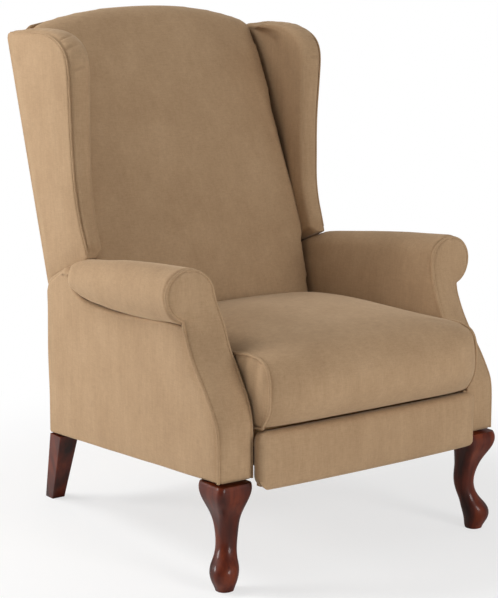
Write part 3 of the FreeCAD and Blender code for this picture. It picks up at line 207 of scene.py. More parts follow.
def make_piece(name, points, faces):
    """A smooth closed mesh object, doubles merged and faces turned outwards."""
    mesh = bpy.data.meshes.new(name)
    shape = bmesh.new()
    corners = [shape.verts.new(point) for point in points]
    for face in faces:
        shape.faces.new([corners[index] for index in face])
    bmesh.ops.remove_doubles(shape, verts=shape.verts, dist=SAME_POINT)
    bmesh.ops.recalc_face_normals(shape, faces=shape.faces)
    save_smooth(shape, mesh)
    return add_object(name, mesh)


def cloth_ripple(point, height, length, seed):
    """A small soft unevenness, as of filling under cloth."""
    return height * noise.noise(point / length + Vector((seed, seed * 0.7, seed * 1.3)))


def edge_drop(distances, bend):
    """How far a face has rounded off, from its distances to the edges near it."""
    gone = sum(max(0.0, bend - distance) ** 2 for distance in distances)
    return bend - math.sqrt(max(0.0, bend * bend - gone))


def puff(height, *edges):
    """How far filling stands out, from each edge's distance and the width of its fall there."""
    for distance, reach in edges:
        height *= ease(distance, 0, reach)
    return height


def distances_of(rows):
    """How far each point of a grid is from the grid's four sides, measured along the grid."""
    across = [lengths_along(row) for row in rows]
    up = [lengths_along(column) for column in zip(*rows)]
    return [[(run[j], run[-1] - run[j], up[j][i], up[j][-1] - up[j][i]) for j in range(len(run))]
            for i, run in enumerate(across)]


def rim_of(tall, wide):
    """The places round the edge of a grid, in order."""
    ring = [(0, j) for j in range(wide)] + [(i, wide - 1) for i in range(1, tall)]
    ring += [(tall - 1, j) for j in range(wide - 2, -1, -1)]
    return ring + [(i, 0) for i in range(tall - 2, 0, -1)]


def band_faces(low, high):
    """The faces between two closed loops of point numbers."""
    return list(zip(low, low[1:] + low[:1], high[1:] + high[:1], high))


def make_shell(name, front, back, bands=()):
    """A closed shell from a front grid, a back grid and loops of points between their edges."""
    tall, wide = len(front), len(front[0])
    points = [point for row in front for point in row] + [point for row in back for point in row]
    faces = [(corner, corner + 1, corner + wide + 1, corner + wide)
             for side in (0, tall * wide) for i in range(tall - 1)
             for corner in range(side + i * wide, side + i * wide + wide - 1)]
    ring = [i * wide + j for i, j in rim_of(tall, wide)]
    loops = [ring]
    for band in bands:
        loops.append(list(range(len(points), len(points) + len(band))))
        points.extend(band)
    loops.append([tall * wide + index for index in ring])
    for low, high in zip(loops, loops[1:]):
        faces += band_faces(low, high)
    return make_piece(name, points, faces)


def two_grids(tall, wide, places):
    """A front and a back grid, from a function that gives both points at a place."""
    pairs = [[places(v, u) for u in wide] for v in tall]
    return [[[pair[side] for pair in row] for row in pairs] for side in (0, 1)]


def shell_over(name, rows, places):
    """A shell from a function that gives the front and back points at each place of a grid."""
    return make_shell(name, *two_grids(range(len(rows)), range(len(rows[0])), places))


def make_loft(name, half):
    """A closed form from rings that run from one end to the middle, and their mirror images."""
    rings = half + [[Vector((-point.x, point.y, point.z)) for point in ring]
                    for ring in reversed(half[:-1])]
    count = len(rings[0])
    points = [point for ring in rings for point in ring]
    loops = [list(range(number * count, (number + 1) * count)) for number in range(len(rings))]
    faces = []
    for low, high in zip(loops, loops[1:]):
        faces += band_faces(low, high)
    for loop, ring in ((loops[0], rings[0]), (loops[-1], rings[-1])):
        points.append(sum(ring, Vector()) / count)
        faces += [(a, b, len(points) - 1) for a, b in zip(loop, loop[1:] + loop[:1])]
    return make_piece(name, points, faces)


def to_middle(count):
    """Shares from 1 to 0, close together near 1."""
    return [math.sin(step / count * math.pi / 2) for step in range(count, -1, -1)]


def finish_piece(piece, body, stands_for=()):
    """Give a piece the cover's fabric, its body and what it stands for."""
    piece.data.materials.clear()
    piece.data.materials.append(FABRIC)
    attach(piece, body)
    if stands_for:
        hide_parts(*stands_for)


# Node trees

class Value:
    """A shader number that adds its Math nodes when it is worked with."""

    def __init__(self, finish, socket):
        self.finish = finish
        self.socket = socket

    def math(self, operation, other):
        made = self.finish.node("ShaderNodeMath", {"operation": operation}, {0: self, 1: other})
        return Value(self.finish, made.outputs[0])

    def __add__(self, other):
        return self.math("ADD", other)

    __radd__ = __add__

    def __sub__(self, other):
        return self.math("SUBTRACT", other)

    def __mul__(self, other):
        return self.math("MULTIPLY", other)


class Nodes:
    """A node tree, with one method that adds every kind of node."""

    def __init__(self, tree):
        self.tree = tree
        tree.nodes.clear()

    def node(self, kind, settings=None, links=None):
        made = self.tree.nodes.new(kind)
        for path, value in (settings or {}).items():
            setattr(made, path, value)
        for key, value in (links or {}).items():
            self.link(made.inputs[key], value)
        return made

    def link(self, socket, value):
        if isinstance(value, Value):
            value = value.socket
        if isinstance(value, bpy.types.NodeSocket):
            self.tree.links.new(value, socket)
        else:
            socket.default_value = value


def welt_tree():
    """A cord of one radius along a line, by a geometry node tree with named inputs."""
    welt = Nodes(bpy.data.node_groups.new("welt", "GeometryNodeTree"))
    for label, way, kind in (("Geometry", "INPUT", "Geometry"), ("Radius", "INPUT", "Float"),
                             ("Step", "INPUT", "Float"), ("Material", "INPUT", "Material"),
                             ("Geometry", "OUTPUT", "Geometry")):
        welt.tree.interface.new_socket(label, in_out=way, socket_type=f"NodeSocket{kind}")
    source = welt.node("NodeGroupInput").outputs
    even_line = welt.node("GeometryNodeResampleCurve", {"mode": "LENGTH"}, {
        "Curve": source["Geometry"], "Length": source["Step"]})
    profile = welt.node("GeometryNodeCurvePrimitiveCircle", {"mode": "RADIUS"}, {
        "Resolution": 10, "Radius": source["Radius"]})
    swept = welt.node("GeometryNodeCurveToMesh", links={
        "Curve": even_line.outputs["Curve"], "Profile Curve": profile.outputs["Curve"],
        "Fill Caps": True})
    soft = welt.node("GeometryNodeSetShadeSmooth", links={"Geometry": swept.outputs["Mesh"]})
    whole = welt.node("GeometryNodeRealizeInstances", links={"Geometry": soft.outputs["Geometry"]})
    dressed = welt.node("GeometryNodeSetMaterial", links={
        "Geometry": whole.outputs["Geometry"], "Material": source["Material"]})
    welt.node("NodeGroupOutput", links={"Geometry": dressed.outputs["Geometry"]})
    return welt.tree


WELT_TREE = welt_tree()


def make_welt(name, line, body, radius, closed=False):
    """A fabric cord laid along a line, kept as a plain mesh."""
    data = bpy.data.curves.new(name, "CURVE")
    data.dimensions = "3D"
    spline = data.splines.new("POLY")
    spline.points.add(len(line) - 1)
    for point, place in zip(spline.points, line):
        point.co = (*place, 1)
    spline.use_cyclic_u = closed
    base = add_object(f"{name}_line", data)
    modifier = base.modifiers.new("tree", "NODES")
    modifier.node_group = WELT_TREE
    values = {"Radius": radius, "Step": WELT_STEP, "Material": FABRIC}
    for item in WELT_TREE.interface.items_tree:
        if item.in_out == "INPUT" and item.name in values:
            modifier[item.identifier] = values[item.name]
    mesh = evaluated_mesh(base)
    mesh.name = name
    piece = add_object(name, mesh)
    bpy.data.objects.remove(base)
    finish_piece(piece, body)


# Materials

class Finish(Nodes):
    """One procedural material."""

    def __init__(self, name):
        self.material = bpy.data.materials.new(name)
        self.material.use_nodes = True
        super().__init__(self.material.node_tree)
        self.place = self.node("ShaderNodeTexCoord").outputs["Object"]

    def stretched(self, scale):
        """The object's own coordinates, stretched."""
        made = self.node("ShaderNodeMapping", links={"Vector": self.place, "Scale": scale})
        return made.outputs["Vector"]

    def noise(self, scale, detail=3.0, stretch=(1, 1, 1), rough=0.5):
        made = self.node("ShaderNodeTexNoise", {"noise_dimensions": "3D"}, {
            "Vector": self.stretched(stretch), "Scale": scale, "Detail": detail,
            "Roughness": rough})
        return Value(self, made.outputs["Fac"])

    def mix(self, share, low, high):
        """A colour between two colours."""
        made = self.node("ShaderNodeMix", {"data_type": "RGBA"})
        self.link(made.inputs["Factor"], share)
        self.link(made.inputs[6], low)
        self.link(made.inputs[7], high)
        return made.outputs[2]

    def ramp(self, share, *stops):
        """A colour from a row of places and colours."""
        made = self.node("ShaderNodeValToRGB", links={"Fac": share})
        elements = made.color_ramp.elements
        while len(elements) < len(stops):
            elements.new(0.5)
        for element, (at, shade) in zip(elements, stops):
            element.position = at
            element.color = shade
        return made.outputs["Color"]

    def bump(self, height, strength, distance):
        made = self.node("ShaderNodeBump", links={
            "Height": height, "Strength": strength, "Distance": distance})
        return made.outputs["Normal"]

    def close(self, **sockets):
        """The surface shader: word_word stands for a socket of that name."""
        surface = self.node("ShaderNodeBsdfPrincipled")
        for word, value in sockets.items():
            parts = ("IOR" if part == "ior" else part.capitalize() for part in word.split("_"))
            label = " ".join(parts)
            self.link(surface.inputs[label], value)
        self.node("ShaderNodeOutputMaterial", links={"Surface": surface.outputs["BSDF"]})
        return self.material


def rgba(red, green, blue):
    """A colour from its values on a screen, 0 to 255, to the shader's own scale."""
    shares = [value / 255 for value in (red, green, blue)]
    return (*(share / 12.92 if share < 0.04045 else ((share + 0.055) / 1.055) ** 2.4
              for share in shares), 1)


def microfibre():
    """Tan brushed microfibre: a soft cloudy nap, faint brushed streaks and a fine cross grain."""
    finish = Finish("tan_microfibre")
    clouds = finish.noise(9, 4, rough=0.6)
    nap = finish.noise(30, 4, (1, 1, 0.35), 0.6)
    streaks = finish.noise(150, 3, (1, 1, 0.08), 0.6)
    threads = finish.noise(520, 2, (1, 1, 0.16))
    crossing = finish.noise(520, 2, (0.16, 0.16, 1))
    tone = clouds * 0.42 + nap * 0.3 + streaks * 0.28
    cloth = finish.ramp(tone, (0.34, rgba(166, 136, 104)), (0.5, rgba(174, 144, 111)),
                        (0.66, rgba(182, 152, 119)))
    grain = threads * 0.5 + crossing * 0.5
    woven = finish.ramp(grain, (0.32, (0.72, 0.70, 0.68, 1)), (0.62, WHITE))
    shade = finish.node("ShaderNodeMix", {"data_type": "RGBA", "blend_type": "MULTIPLY"}, {
        "Factor": 0.5, 6: cloth, 7: woven})
    height = grain * 0.6 + nap * 0.25 + streaks * 0.15
    return finish.close(
        base_color=shade.outputs[2],
        roughness=0.86 + (nap - 0.5) * 0.12,
        specular_ior_level=0.2,
        sheen_weight=0.28, sheen_roughness=0.45, sheen_tint=rgba(236, 214, 186),
        normal=finish.bump(height, 0.35, 0.0006))


def cherry_wood():
    """Dark cherry stain under gloss lacquer, with a long grain, fine pores and cloudy tone."""
    finish = Finish("dark_cherry")
    rings = finish.noise(26, 4, (1, 1, 0.12), 0.55)
    pores = finish.noise(420, 2, (1, 1, 0.03))
    clouds = finish.noise(11, 2)
    tone = rings * 0.65 + clouds * 0.35
    stain = finish.ramp(tone, (0.36, rgba(38, 11, 4)), (0.5, rgba(84, 29, 11)),
                        (0.64, rgba(124, 52, 21)))
    return finish.close(
        base_color=finish.mix((pores - 0.42) * 0.55, stain, rgba(30, 10, 8)),
        roughness=0.34 + rings * 0.12,
        specular_ior_level=0.2,
        coat_weight=0.25, coat_roughness=0.06, coat_ior=1.4,
        normal=finish.bump(pores * 0.4 + rings * 0.6, 0.12, 0.0004))


def frame_wood():
    """Bare planed hardwood with grain and pores."""
    finish = Finish("bare_hardwood")
    grain = finish.noise(32, 4, (0.12, 0.5, 1), 0.6)
    pores = finish.noise(360, 2, (0.06, 1, 1))
    bands = finish.ramp(grain, (0.35, rgba(150, 112, 72)), (0.5, rgba(188, 150, 104)),
                        (0.66, rgba(206, 172, 126)))
    return finish.close(
        base_color=finish.mix((pores - 0.45) * 0.5, bands, rgba(120, 84, 50)),
        roughness=0.62 + pores * 0.15,
        normal=finish.bump(pores * 0.6 + grain * 0.4, 0.25, 0.0005))


def satin_steel():
    """Pressed steel under a black satin coat, scuffed to grey in places."""
    finish = Finish("black_satin_steel")
    scuffs = finish.noise(60, 5, (1, 0.3, 1), 0.7)
    speckle = finish.noise(700, 2)
    worn = finish.ramp(scuffs, (0.66, (0, 0, 0, 1)), (0.78, WHITE))
    bare = Value(finish, finish.node("ShaderNodeRGBToBW", links={"Color": worn}).outputs["Val"])
    return finish.close(
        base_color=finish.mix(bare * 0.6, rgba(34, 34, 36), rgba(120, 118, 114)),
        metallic=0.2 + bare * 0.6,
        roughness=0.42 + speckle * 0.12 - bare * 0.08,
        normal=finish.bump(speckle, 0.15, 0.0002))


def mottled(name, grain, low, high, rough, bump, **sockets):
    """A finish that one grain carries between two colours and two roughnesses."""
    finish = Finish(name)
    film = finish.noise(*grain)
    return finish.close(base_color=finish.mix(film, rgba(*low), rgba(*high)),
                        roughness=rough[0] + film * rough[1],
                        normal=finish.bump(film, *bump), **sockets)


def webbing():
    """Black woven elastic webbing with ribs across it."""
    finish = Finish("black_webbing")
    ribs = finish.node("ShaderNodeTexWave", {"wave_type": "BANDS", "bands_direction": "Z"}, {
        "Vector": finish.place, "Scale": 120.0, "Distortion": 0.3, "Detail": 1.0})
    rib = Value(finish, ribs.outputs["Fac"])
    fuzz = finish.noise(500, 2)
    return finish.close(
        base_color=finish.mix(rib * 0.6 + fuzz * 0.4, rgba(26, 25, 24), rgba(74, 71, 67)),
        roughness=0.85 + fuzz * 0.1, normal=finish.bump(rib * 0.8 + fuzz * 0.2, 0.5, 0.0008))


FABRIC = microfibre()
SLOT_FINISHES = {
    "cover_fabric": FABRIC,
    "leg_wood": cherry_wood(),
    "frame_wood": frame_wood(),
    "link_steel": satin_steel(),
    "spring_steel": mottled("oiled_wire", (80, 4, (1, 1, 1), 0.6), (92, 88, 84), (150, 146, 140),
                            (0.26, 0.2), (0.1, 0.0003), metallic=0.9),
    "glide_nylon": mottled("natural_nylon", (70, 3), (206, 203, 190), (228, 226, 216),
                           (0.42, 0.1), (0.05, 0.0003)),
    "strap_webbing": webbing(),
}
for subpart in frame["record"]["subparts"]:
    node_mesh = frame["nodes"][subpart["node"]].data
    node_mesh.materials.clear()
    node_mesh.materials.append(SLOT_FINISHES[subpart["material_slot"]])


# Camera, light and floor

CAMERA_SPOT = (-2.180, -2.978, 1.1986)
CAMERA_AIM = (-0.026, -0.020, 0.476)
CAMERA_LENS = 107.7
CAMERA_SENSOR = 36
LAMP_AIM = (0, 0, 0.5)
# Name, place, width and power of each lamp
LAMPS = (
    ("key_lamp", (-3.3, 2.1, 1.55), 1.4, 88),
    ("front_lamp", (0.6, -4.2, 1.6), 1.6, 80),
    ("top_lamp", (-1.7, 1.4, 3.3), 1.5, 50),
    ("right_lamp", (3.4, -1.0, 1.8), 2.6, 6),
    ("rear_lamp", (1.6, 3.4, 2.2), 2.6, 10),
)
WORLD_LIGHT = 0.27
FLOOR_TONE = (0.93, 0.93, 0.93, 1)
FLOOR_RADIUS = 7.0
FLOOR_LIFT = 0.65
FLOOR_FADE = (0.55, 1.25)


def turn_to(holder, aim):
    """Point a camera or a lamp at a place."""
    way = Vector(aim) - Vector(holder.location)
    holder.rotation_euler = way.to_track_quat("-Z", "Y").to_euler()


def make_stage():
    bpy.context.scene.view_settings.view_transform = "Standard"
    camera = add_object("camera", bpy.data.cameras.new("camera"))
    bpy.context.scene.camera = camera
    camera.location = CAMERA_SPOT
    turn_to(camera, CAMERA_AIM)
    camera.data.sensor_width = CAMERA_SENSOR
    camera.data.lens = CAMERA_LENS
    for name, spot, width, power in LAMPS:
        lamp = bpy.data.lights.new(name, "AREA")
        lamp.shape = "DISK"
        lamp.size = width
        lamp.energy = power
        holder = add_object(name, lamp)
        holder.location = spot
        turn_to(holder, LAMP_AIM)
    world = bpy.data.worlds.new("studio")
    bpy.context.scene.world = world
    world.use_nodes = True
    sky = Nodes(world.node_tree)
    paths = sky.node("ShaderNodeLightPath").outputs
    seen = sky.node("ShaderNodeMath", {"operation": "ADD", "use_clamp": True}, {
        0: paths["Is Camera Ray"], 1: paths["Is Transmission Ray"]})
    low, high = (sky.node("ShaderNodeBackground", links={"Color": WHITE, "Strength": strength})
                 for strength in (WORLD_LIGHT, 1.0))
    mixed = sky.node("ShaderNodeMixShader", links={
        0: seen.outputs[0], 1: low.outputs[0], 2: high.outputs[0]})
    sky.node("ShaderNodeOutputWorld", links={"Surface": mixed.outputs[0]})


def make_floor():
    """A pale round floor that fades to the white backdrop away from the chair."""
    finish = Finish("pale_floor")
    reach = finish.node("ShaderNodeVectorMath", {"operation": "LENGTH"}, {0: finish.place})
    fade = finish.node("ShaderNodeMapRange", {"interpolation_type": "SMOOTHSTEP"}, {
        "Value": reach.outputs["Value"], "From Min": FLOOR_FADE[0], "From Max": FLOOR_FADE[1]})
    paths = finish.node("ShaderNodeLightPath")
    lift = Value(finish, fade.outputs["Result"]) * (1 - FLOOR_LIFT) + FLOOR_LIFT
    seen = lift * Value(finish, paths.outputs["Is Camera Ray"])
    plain = finish.node("ShaderNodeBsdfDiffuse", links={"Color": FLOOR_TONE})
    white = finish.node("ShaderNodeEmission", links={"Color": WHITE, "Strength": 1.0})
    mixed = finish.node("ShaderNodeMixShader", links={
        0: seen, 1: plain.outputs[0], 2: white.outputs[0]})
    finish.node("ShaderNodeOutputMaterial", links={"Surface": mixed.outputs[0]})
    mesh = bpy.data.meshes.new("floor")
    shape = bmesh.new()
    bmesh.ops.create_circle(shape, cap_ends=True, segments=96, radius=FLOOR_RADIUS)
    shape.to_mesh(mesh)
    shape.free()
    floor = add_object("floor", mesh)
    mesh.materials.append(finish.material)


make_stage()
make_floor()


# Soft forms by cloth

CLOTH = {"quality": 6, "mass": 0.3, "tension_stiffness": 12, "compression_stiffness": 12,
         "shear_stiffness": 4, "bending_stiffness": 0.8, "use_pressure": True,
         "uniform_pressure_force": 3.5, "vertex_group_mass": "held"}
CLOTH_FRAMES = 20
SMOOTH_ROUNDS = 4


def blow_up(piece, reach, held):
    """Press a form out as cloth: no point moves further than its reach, held ones not at all."""
    start = [vertex.co.copy() for vertex in piece.data.vertices]
    pins = piece.vertex_groups.new(name="held")
    for index, co in enumerate(start):
        pins.add([index], held(co), "REPLACE")
    cloth = piece.modifiers.new("cloth", "CLOTH")
    for path, value in CLOTH.items():
        setattr(cloth.settings, path, value)
    cloth.settings.effector_weights.gravity = 0
    cloth.point_cache.frame_start = 1
    cloth.point_cache.frame_end = CLOTH_FRAMES
    for step in range(1, CLOTH_FRAMES + 1):
        bpy.context.scene.frame_set(step)
    whole = bpy.context.evaluated_depsgraph_get()
    blown = [vertex.co.copy() for vertex in piece.evaluated_get(whole).data.vertices]
    piece.modifiers.clear()
    bpy.context.scene.frame_set(1)
    for vertex, old, new in zip(piece.data.vertices, start, blown):
        move = new - old
        cap = reach * (1 - held(old))
        if move.length > cap:
            move *= cap / move.length
        vertex.co = old + move
    piece.vertex_groups.clear()


def plump(piece, voxel, reach, held):
    """Give a closed form an even mesh, press it out, smooth it and divide it once more."""
    remesh = piece.modifiers.new("remesh", "REMESH")
    remesh.mode = "VOXEL"
    remesh.voxel_size = voxel
    apply_modifiers(piece)
    blow_up(piece, reach, held)
    shape = bmesh.new()
    shape.from_mesh(piece.data)
    for _ in range(SMOOTH_ROUNDS):
        bmesh.ops.smooth_vert(shape, verts=shape.verts, factor=0.5,
                              use_axis_x=True, use_axis_y=True, use_axis_z=True)
    save_smooth(shape, piece.data)
    divide = piece.modifiers.new("divide", "SUBSURF")
    divide.levels = 1
    divide.render_levels = 1
    apply_modifiers(piece)


def push_points(piece, push):
    """Move each point of a piece by what push gives for its place and normal."""
    points = [(vertex.co.copy(), vertex.normal.copy()) for vertex in piece.data.vertices]
    for vertex, (place, normal) in zip(piece.data.vertices, points):
        vertex.co = place + push(place, normal)


def crown(share, power):
    """A rounded swell: 1 at the middle and 0 at the ends."""
    return 1 - abs(share) ** power


# Seat cushion

SEAT_FRONT = -0.444
SEAT_FOOT = 0.313
SEAT_REAR = 0.124
SEAT_HALF = 0.262
# Round front of the seat cushion in shares of half its height, set-back and rise: middle, then end
SEAT_NOSE = (
    ((1.0, 0.01), (0.68, -0.02)), ((0.42, 0.14), (0.31, 0.12)), ((0.08, 0.52), (0.045, 0.56)),
    ((0.0, 0.98), (0.0, 1.05)), ((0.12, 1.42), (0.05, 1.58)), ((0.46, 1.78), (0.30, 1.90)),
    ((1.05, 1.97), (0.95, 2.0)))


def seat_section(share):
    """The seat cushion's side view at a share of its half width, as a ring."""
    end = abs(share) ** 7
    swell = crown(share, 3.6)
    front = SEAT_FRONT + 0.010 * (1 - swell) + 0.030 * end
    top = SEAT_FOOT + 0.138 + 0.019 * swell - 0.004 * end
    rear_top = SEAT_FOOT + 0.112 + 0.022 * swell
    nose = (top - SEAT_FOOT) / 2
    knots = [(SEAT_REAR, SEAT_FOOT), (-0.10, SEAT_FOOT)]
    for (back, rise), (end_back, end_rise) in SEAT_NOSE:
        knots.append((front + nose * lerp(back, end_back, end),
                      SEAT_FOOT + nose * lerp(rise, end_rise, end)))
    dip = 0.008 * end
    knots += [(front + nose * 2.2, top + 0.006 * swell - dip),
              (-0.12, top - 0.004 + 0.013 * swell - dip),
              (0.02, (top + rear_top) / 2 + 0.009 * swell), (SEAT_REAR - 0.012, rear_top),
              (SEAT_REAR, rear_top - 0.012)]
    return [Vector((share * SEAT_HALF, point.y, point.z)) for point in side_ring(knots, 150)]


def make_seat_cushion():
    edge = seat_section(1.0)
    middle = sum(edge, Vector()) / len(edge)
    ends = [[point + (middle - point) * inset for point in edge]
            for inset in (0.75, 0.45, 0.2, 0.06)]
    piece = make_loft("seat_cushion_cover", ends + [seat_section(share) for share in to_middle(26)])

    def held(co):
        flat = 1 - ease(co.z, SEAT_FOOT + 0.002, SEAT_FOOT + 0.03)
        return max(flat, ease(co.y, SEAT_REAR - 0.05, SEAT_REAR),
                   ease(abs(co.x), SEAT_HALF - 0.02, SEAT_HALF))

    def side_folds(co, normal):
        side = ease(abs(co.x), SEAT_HALF - 0.012, SEAT_HALF - 0.002)
        fold = math.sin((co.y + 0.39 + 0.25 * (co.z - 0.38)) * 150) * ease(co.z, 0.33, 0.37)
        return (Vector((math.copysign(1, co.x) * side * 0.0014 * fold, 0, 0))
                + normal * cloth_ripple(co, 0.0016, 0.11, 3))

    plump(piece, 0.007, 0.010, held)
    push_points(piece, side_folds)
    finish_piece(piece, "seat", ["seat_cushion"])
    for word, sign in SIDES:
        line = [Vector((sign * (SEAT_HALF - 0.003), point.y, point.z))
                for point in seat_section(0.992)]
        make_welt(f"seat_welt_{word}", even(line + line[:1], 260)[:-1], "seat", 0.0030, closed=True)


# Back cushion

BACK_CROWN = 1.068
BACK_CROWN_SEAM = 1.027
BACK_CUSHION_FOOT = 0.378
BACK_PAD_REAR = 0.2945
# Height and Y of the back cushion's front, and how much of its swell it has there
BACK_FRONT = ((0.378, 0.131, 0.1), (0.46, 0.148, 0.6), (0.55, 0.181, 0.9), (0.64, 0.2175, 1.0),
              (0.73, 0.254, 1.0), (0.81, 0.290, 1.0), (0.89, 0.327, 0.95), (0.95, 0.356, 0.85),
              (0.99, 0.378, 0.6))


def back_half(z):
    """Half width of the back cushion: narrow between the arms, wide between the wings."""
    low = lerp(lerp(0.2625, 0.2655, ease(z, 0.44, 0.49)), 0.2710, ease(z, 0.50, 0.535))
    high = 0.2835 - 0.0070 * ease(z, 0.62, 0.72) + 0.0025 * ease(z, 0.95, 1.01)
    return lerp(low, high, ease(z, 0.552, 0.568))


def back_ring(share):
    """The back cushion's side view at a share of its half width."""
    swell = crown(share, 3.4)
    high = BACK_CROWN - 0.038 * abs(share) ** 2.6
    foot = BACK_CUSHION_FOOT
    seam = []
    for z, y, push in BACK_FRONT:
        lift = (z - foot) / (BACK_CROWN_SEAM - foot) * (high - BACK_CROWN_SEAM)
        seam.append((y - 0.019 * swell * push, z + lift))
    last_y, last_z = seam[-1]
    apex_y = last_y + 0.048

    def rear(z):
        return BACK_PAD_REAR + BACK_SLOPE * (z - 0.376)

    shoulder = high - 0.026
    knots = seam + [(lerp(last_y, apex_y, 0.34), lerp(last_z, high, 0.68)), (apex_y, high),
                    (lerp(apex_y, rear(shoulder), 0.6), high - 0.003), (rear(shoulder), shoulder)]
    knots += [(rear(z), z) for z in (0.9, 0.75, 0.6, 0.45)]
    knots += [(rear(0.38) - 0.004, foot), (0.22, foot - 0.001)]
    return [Vector((share * back_half(point.z), point.y, point.z))
            for point in side_ring(knots, 190)]


def make_back_cushion():
    edge = back_ring(1.0)
    middle = sum(edge, Vector()) / len(edge)
    ends = []
    for inset in (0.10, 0.055, 0.025, 0.007):
        ring = []
        for point in edge:
            inward = Vector((0, middle.y - point.y, 0)).normalized() * inset
            ring.append(point + inward * min(1.0, abs(middle.y - point.y) / 0.12))
        ends.append(ring)
    piece = make_loft("back_cushion_cover", ends + [back_ring(share) for share in to_middle(28)])

    def held(co):
        rear_y = BACK_PAD_REAR + 0.004 + BACK_SLOPE * (co.z - 0.376)
        rear = 1 - ease(rear_y - co.y, 0.02, 0.05)
        top = ease(co.z, 1.02, 1.05) * 0.7
        side = ease(abs(co.x), back_half(co.z) - 0.03, back_half(co.z) - 0.004)
        foot = 1 - ease(co.z, 0.385, 0.43)
        return min(1, max(rear, top, side, foot))

    plump(piece, 0.008, 0.009, held)
    push_points(piece, lambda co, normal: normal * cloth_ripple(co, 0.0018, 0.14, 8))
    finish_piece(piece, "back", ["back_cushion"])


# Footrest pad

PAD_LOW, PAD_HIGH = 0.1950, 0.3085
PAD_REAR = -0.3785
PAD_HALF = 0.2715
PAD_LOW_CORNER, PAD_HIGH_CORNER = 0.026, 0.018


def make_footrest_pad():
    def places(v, u):
        x, z = lerp(-PAD_HALF, PAD_HALF, u), lerp(PAD_LOW, PAD_HIGH, v)
        side = min(u, 1 - u) * 2 * PAD_HALF
        end = min(v, 1 - v) * (PAD_HIGH - PAD_LOW)
        corner = PAD_LOW_CORNER if v < 0.5 else PAD_HIGH_CORNER
        if side < corner and end < corner:
            towards = Vector((corner - side, corner - end))
            if towards.length > corner:
                towards *= corner / towards.length
                x = math.copysign(PAD_HALF - corner + towards.x, x)
                z = (PAD_LOW + corner - towards.y) if v < 0.5 else (PAD_HIGH - corner + towards.y)
                side = PAD_HALF - abs(x)
                end = min(z - PAD_LOW, PAD_HIGH - z)
        drop = edge_drop((side, end), 0.013)
        rise = puff(0.0045, (side, 0.05), (end, 0.04))
        y = PAD_REAR - 0.0270 + 0.008 * abs(x / PAD_HALF) ** 2.6 + drop - rise
        y += cloth_ripple(Vector((x, 0, z)), 0.0012, 0.09, 5)
        back = Vector((x * 0.985, PAD_REAR + 0.0105, lerp(z, (PAD_LOW + PAD_HIGH) / 2, 0.04)))
        return Vector((x, y, z)), back

    piece = make_shell("footrest_cover", *two_grids(spread(0.18, 22), spread(0.05, 46), places))
    finish_piece(piece, "footrest", ["footrest_pad"])


# Arms

def arm_point(sign, out, y, z):
    """A point on one side of the chair, a distance out from the arm's inner face."""
    return Vector((sign * (WELL + out), y, z))


def sweep_at(z, share):
    """Y of the arm's front at a height, a share of the way from its inner to its outer edge."""
    return lerp(along(INNER_SWEEP, z), along(OUTER_SWEEP, z), min(max(share, 0.0), 1.0))


def foot_at(y):
    return lerp(ARM_FOOT_FRONT, ARM_FOOT_REAR, (y - ARM_FRONT) / (ARM_REAR - ARM_FRONT))


def pinch_at(y):
    """How much narrower the arm is at a place than at its front."""
    return ARM_PINCH * (y - ARM_FRONT) / (ARM_REAR - ARM_FRONT)


def panel_out(y, z):
    """How far out the arm's outside panel stands."""
    share = (z - PANEL_FOOT) / (CREASE - PANEL_FOOT)
    return lerp(PANEL_FOOT_OUT, PANEL_NECK_OUT, share) - pinch_at(y)


def parting(y):
    """Height of the line on which the back parts from the arm, rounded off at the arm's rear."""
    corner = edge_drop((ARM_REAR - y + 0.0005,), 0.020)
    return PARTING_FRONT[1] + PARTING_SLOPE * (y - PARTING_FRONT[0]) - PARTING_GAP - corner


def roll_at(y):
    """Offset, height and radius of the arm's roll."""
    share = (y - ARM_FRONT - SETBACK) / 0.400
    bow = 0.005 * math.sin(math.pi * min(max(share, 0.0), 1.0))
    return lerp(0.062, 0.0495, share), lerp(0.554, 0.525, share) + bow, lerp(0.052, 0.040, share)


def facing_out(z):
    """Inner and outer reach of the facing at a height."""
    offset, height, radius = SCROLL_OUT, SCROLL_HEIGHT, SCROLL_RADIUS
    if z >= height:
        half = math.sqrt(max(0.0, 1 - ((z - height) / (radius - SCROLL_FLAT)) ** 2))
        return offset - (radius + SCROLL_INSIDE) * half, offset + radius * half
    inner = lerp(0.001, offset - radius - SCROLL_INSIDE, ease(z, 0.480, height + 0.012) ** 1.3)
    if z <= 0.494:
        return inner, panel_out(ARM_FRONT, z)
    half = math.sqrt(max(0.0, radius ** 2 - (z - height) ** 2))
    neck = ease(z, 0.494, 0.510) ** 0.8
    return inner, lerp(panel_out(ARM_FRONT, z), max(offset + half, PANEL_NECK_OUT), neck)


def facing_heights():
    """Heights of the facing's rows, close together round the scroll."""
    low = foot_at(ARM_FRONT)
    rise = SCROLL_RADIUS - SCROLL_FLAT
    plain = [lerp(low, 0.46, step / 36) for step in range(37)]
    plain += [lerp(0.46, SCROLL_HEIGHT, step / 30) for step in range(1, 31)]
    plain += [SCROLL_HEIGHT + rise * math.sin(math.radians(angle)) for angle in range(4, 90, 4)]
    return plain + [SCROLL_HEIGHT + rise - 0.00002]


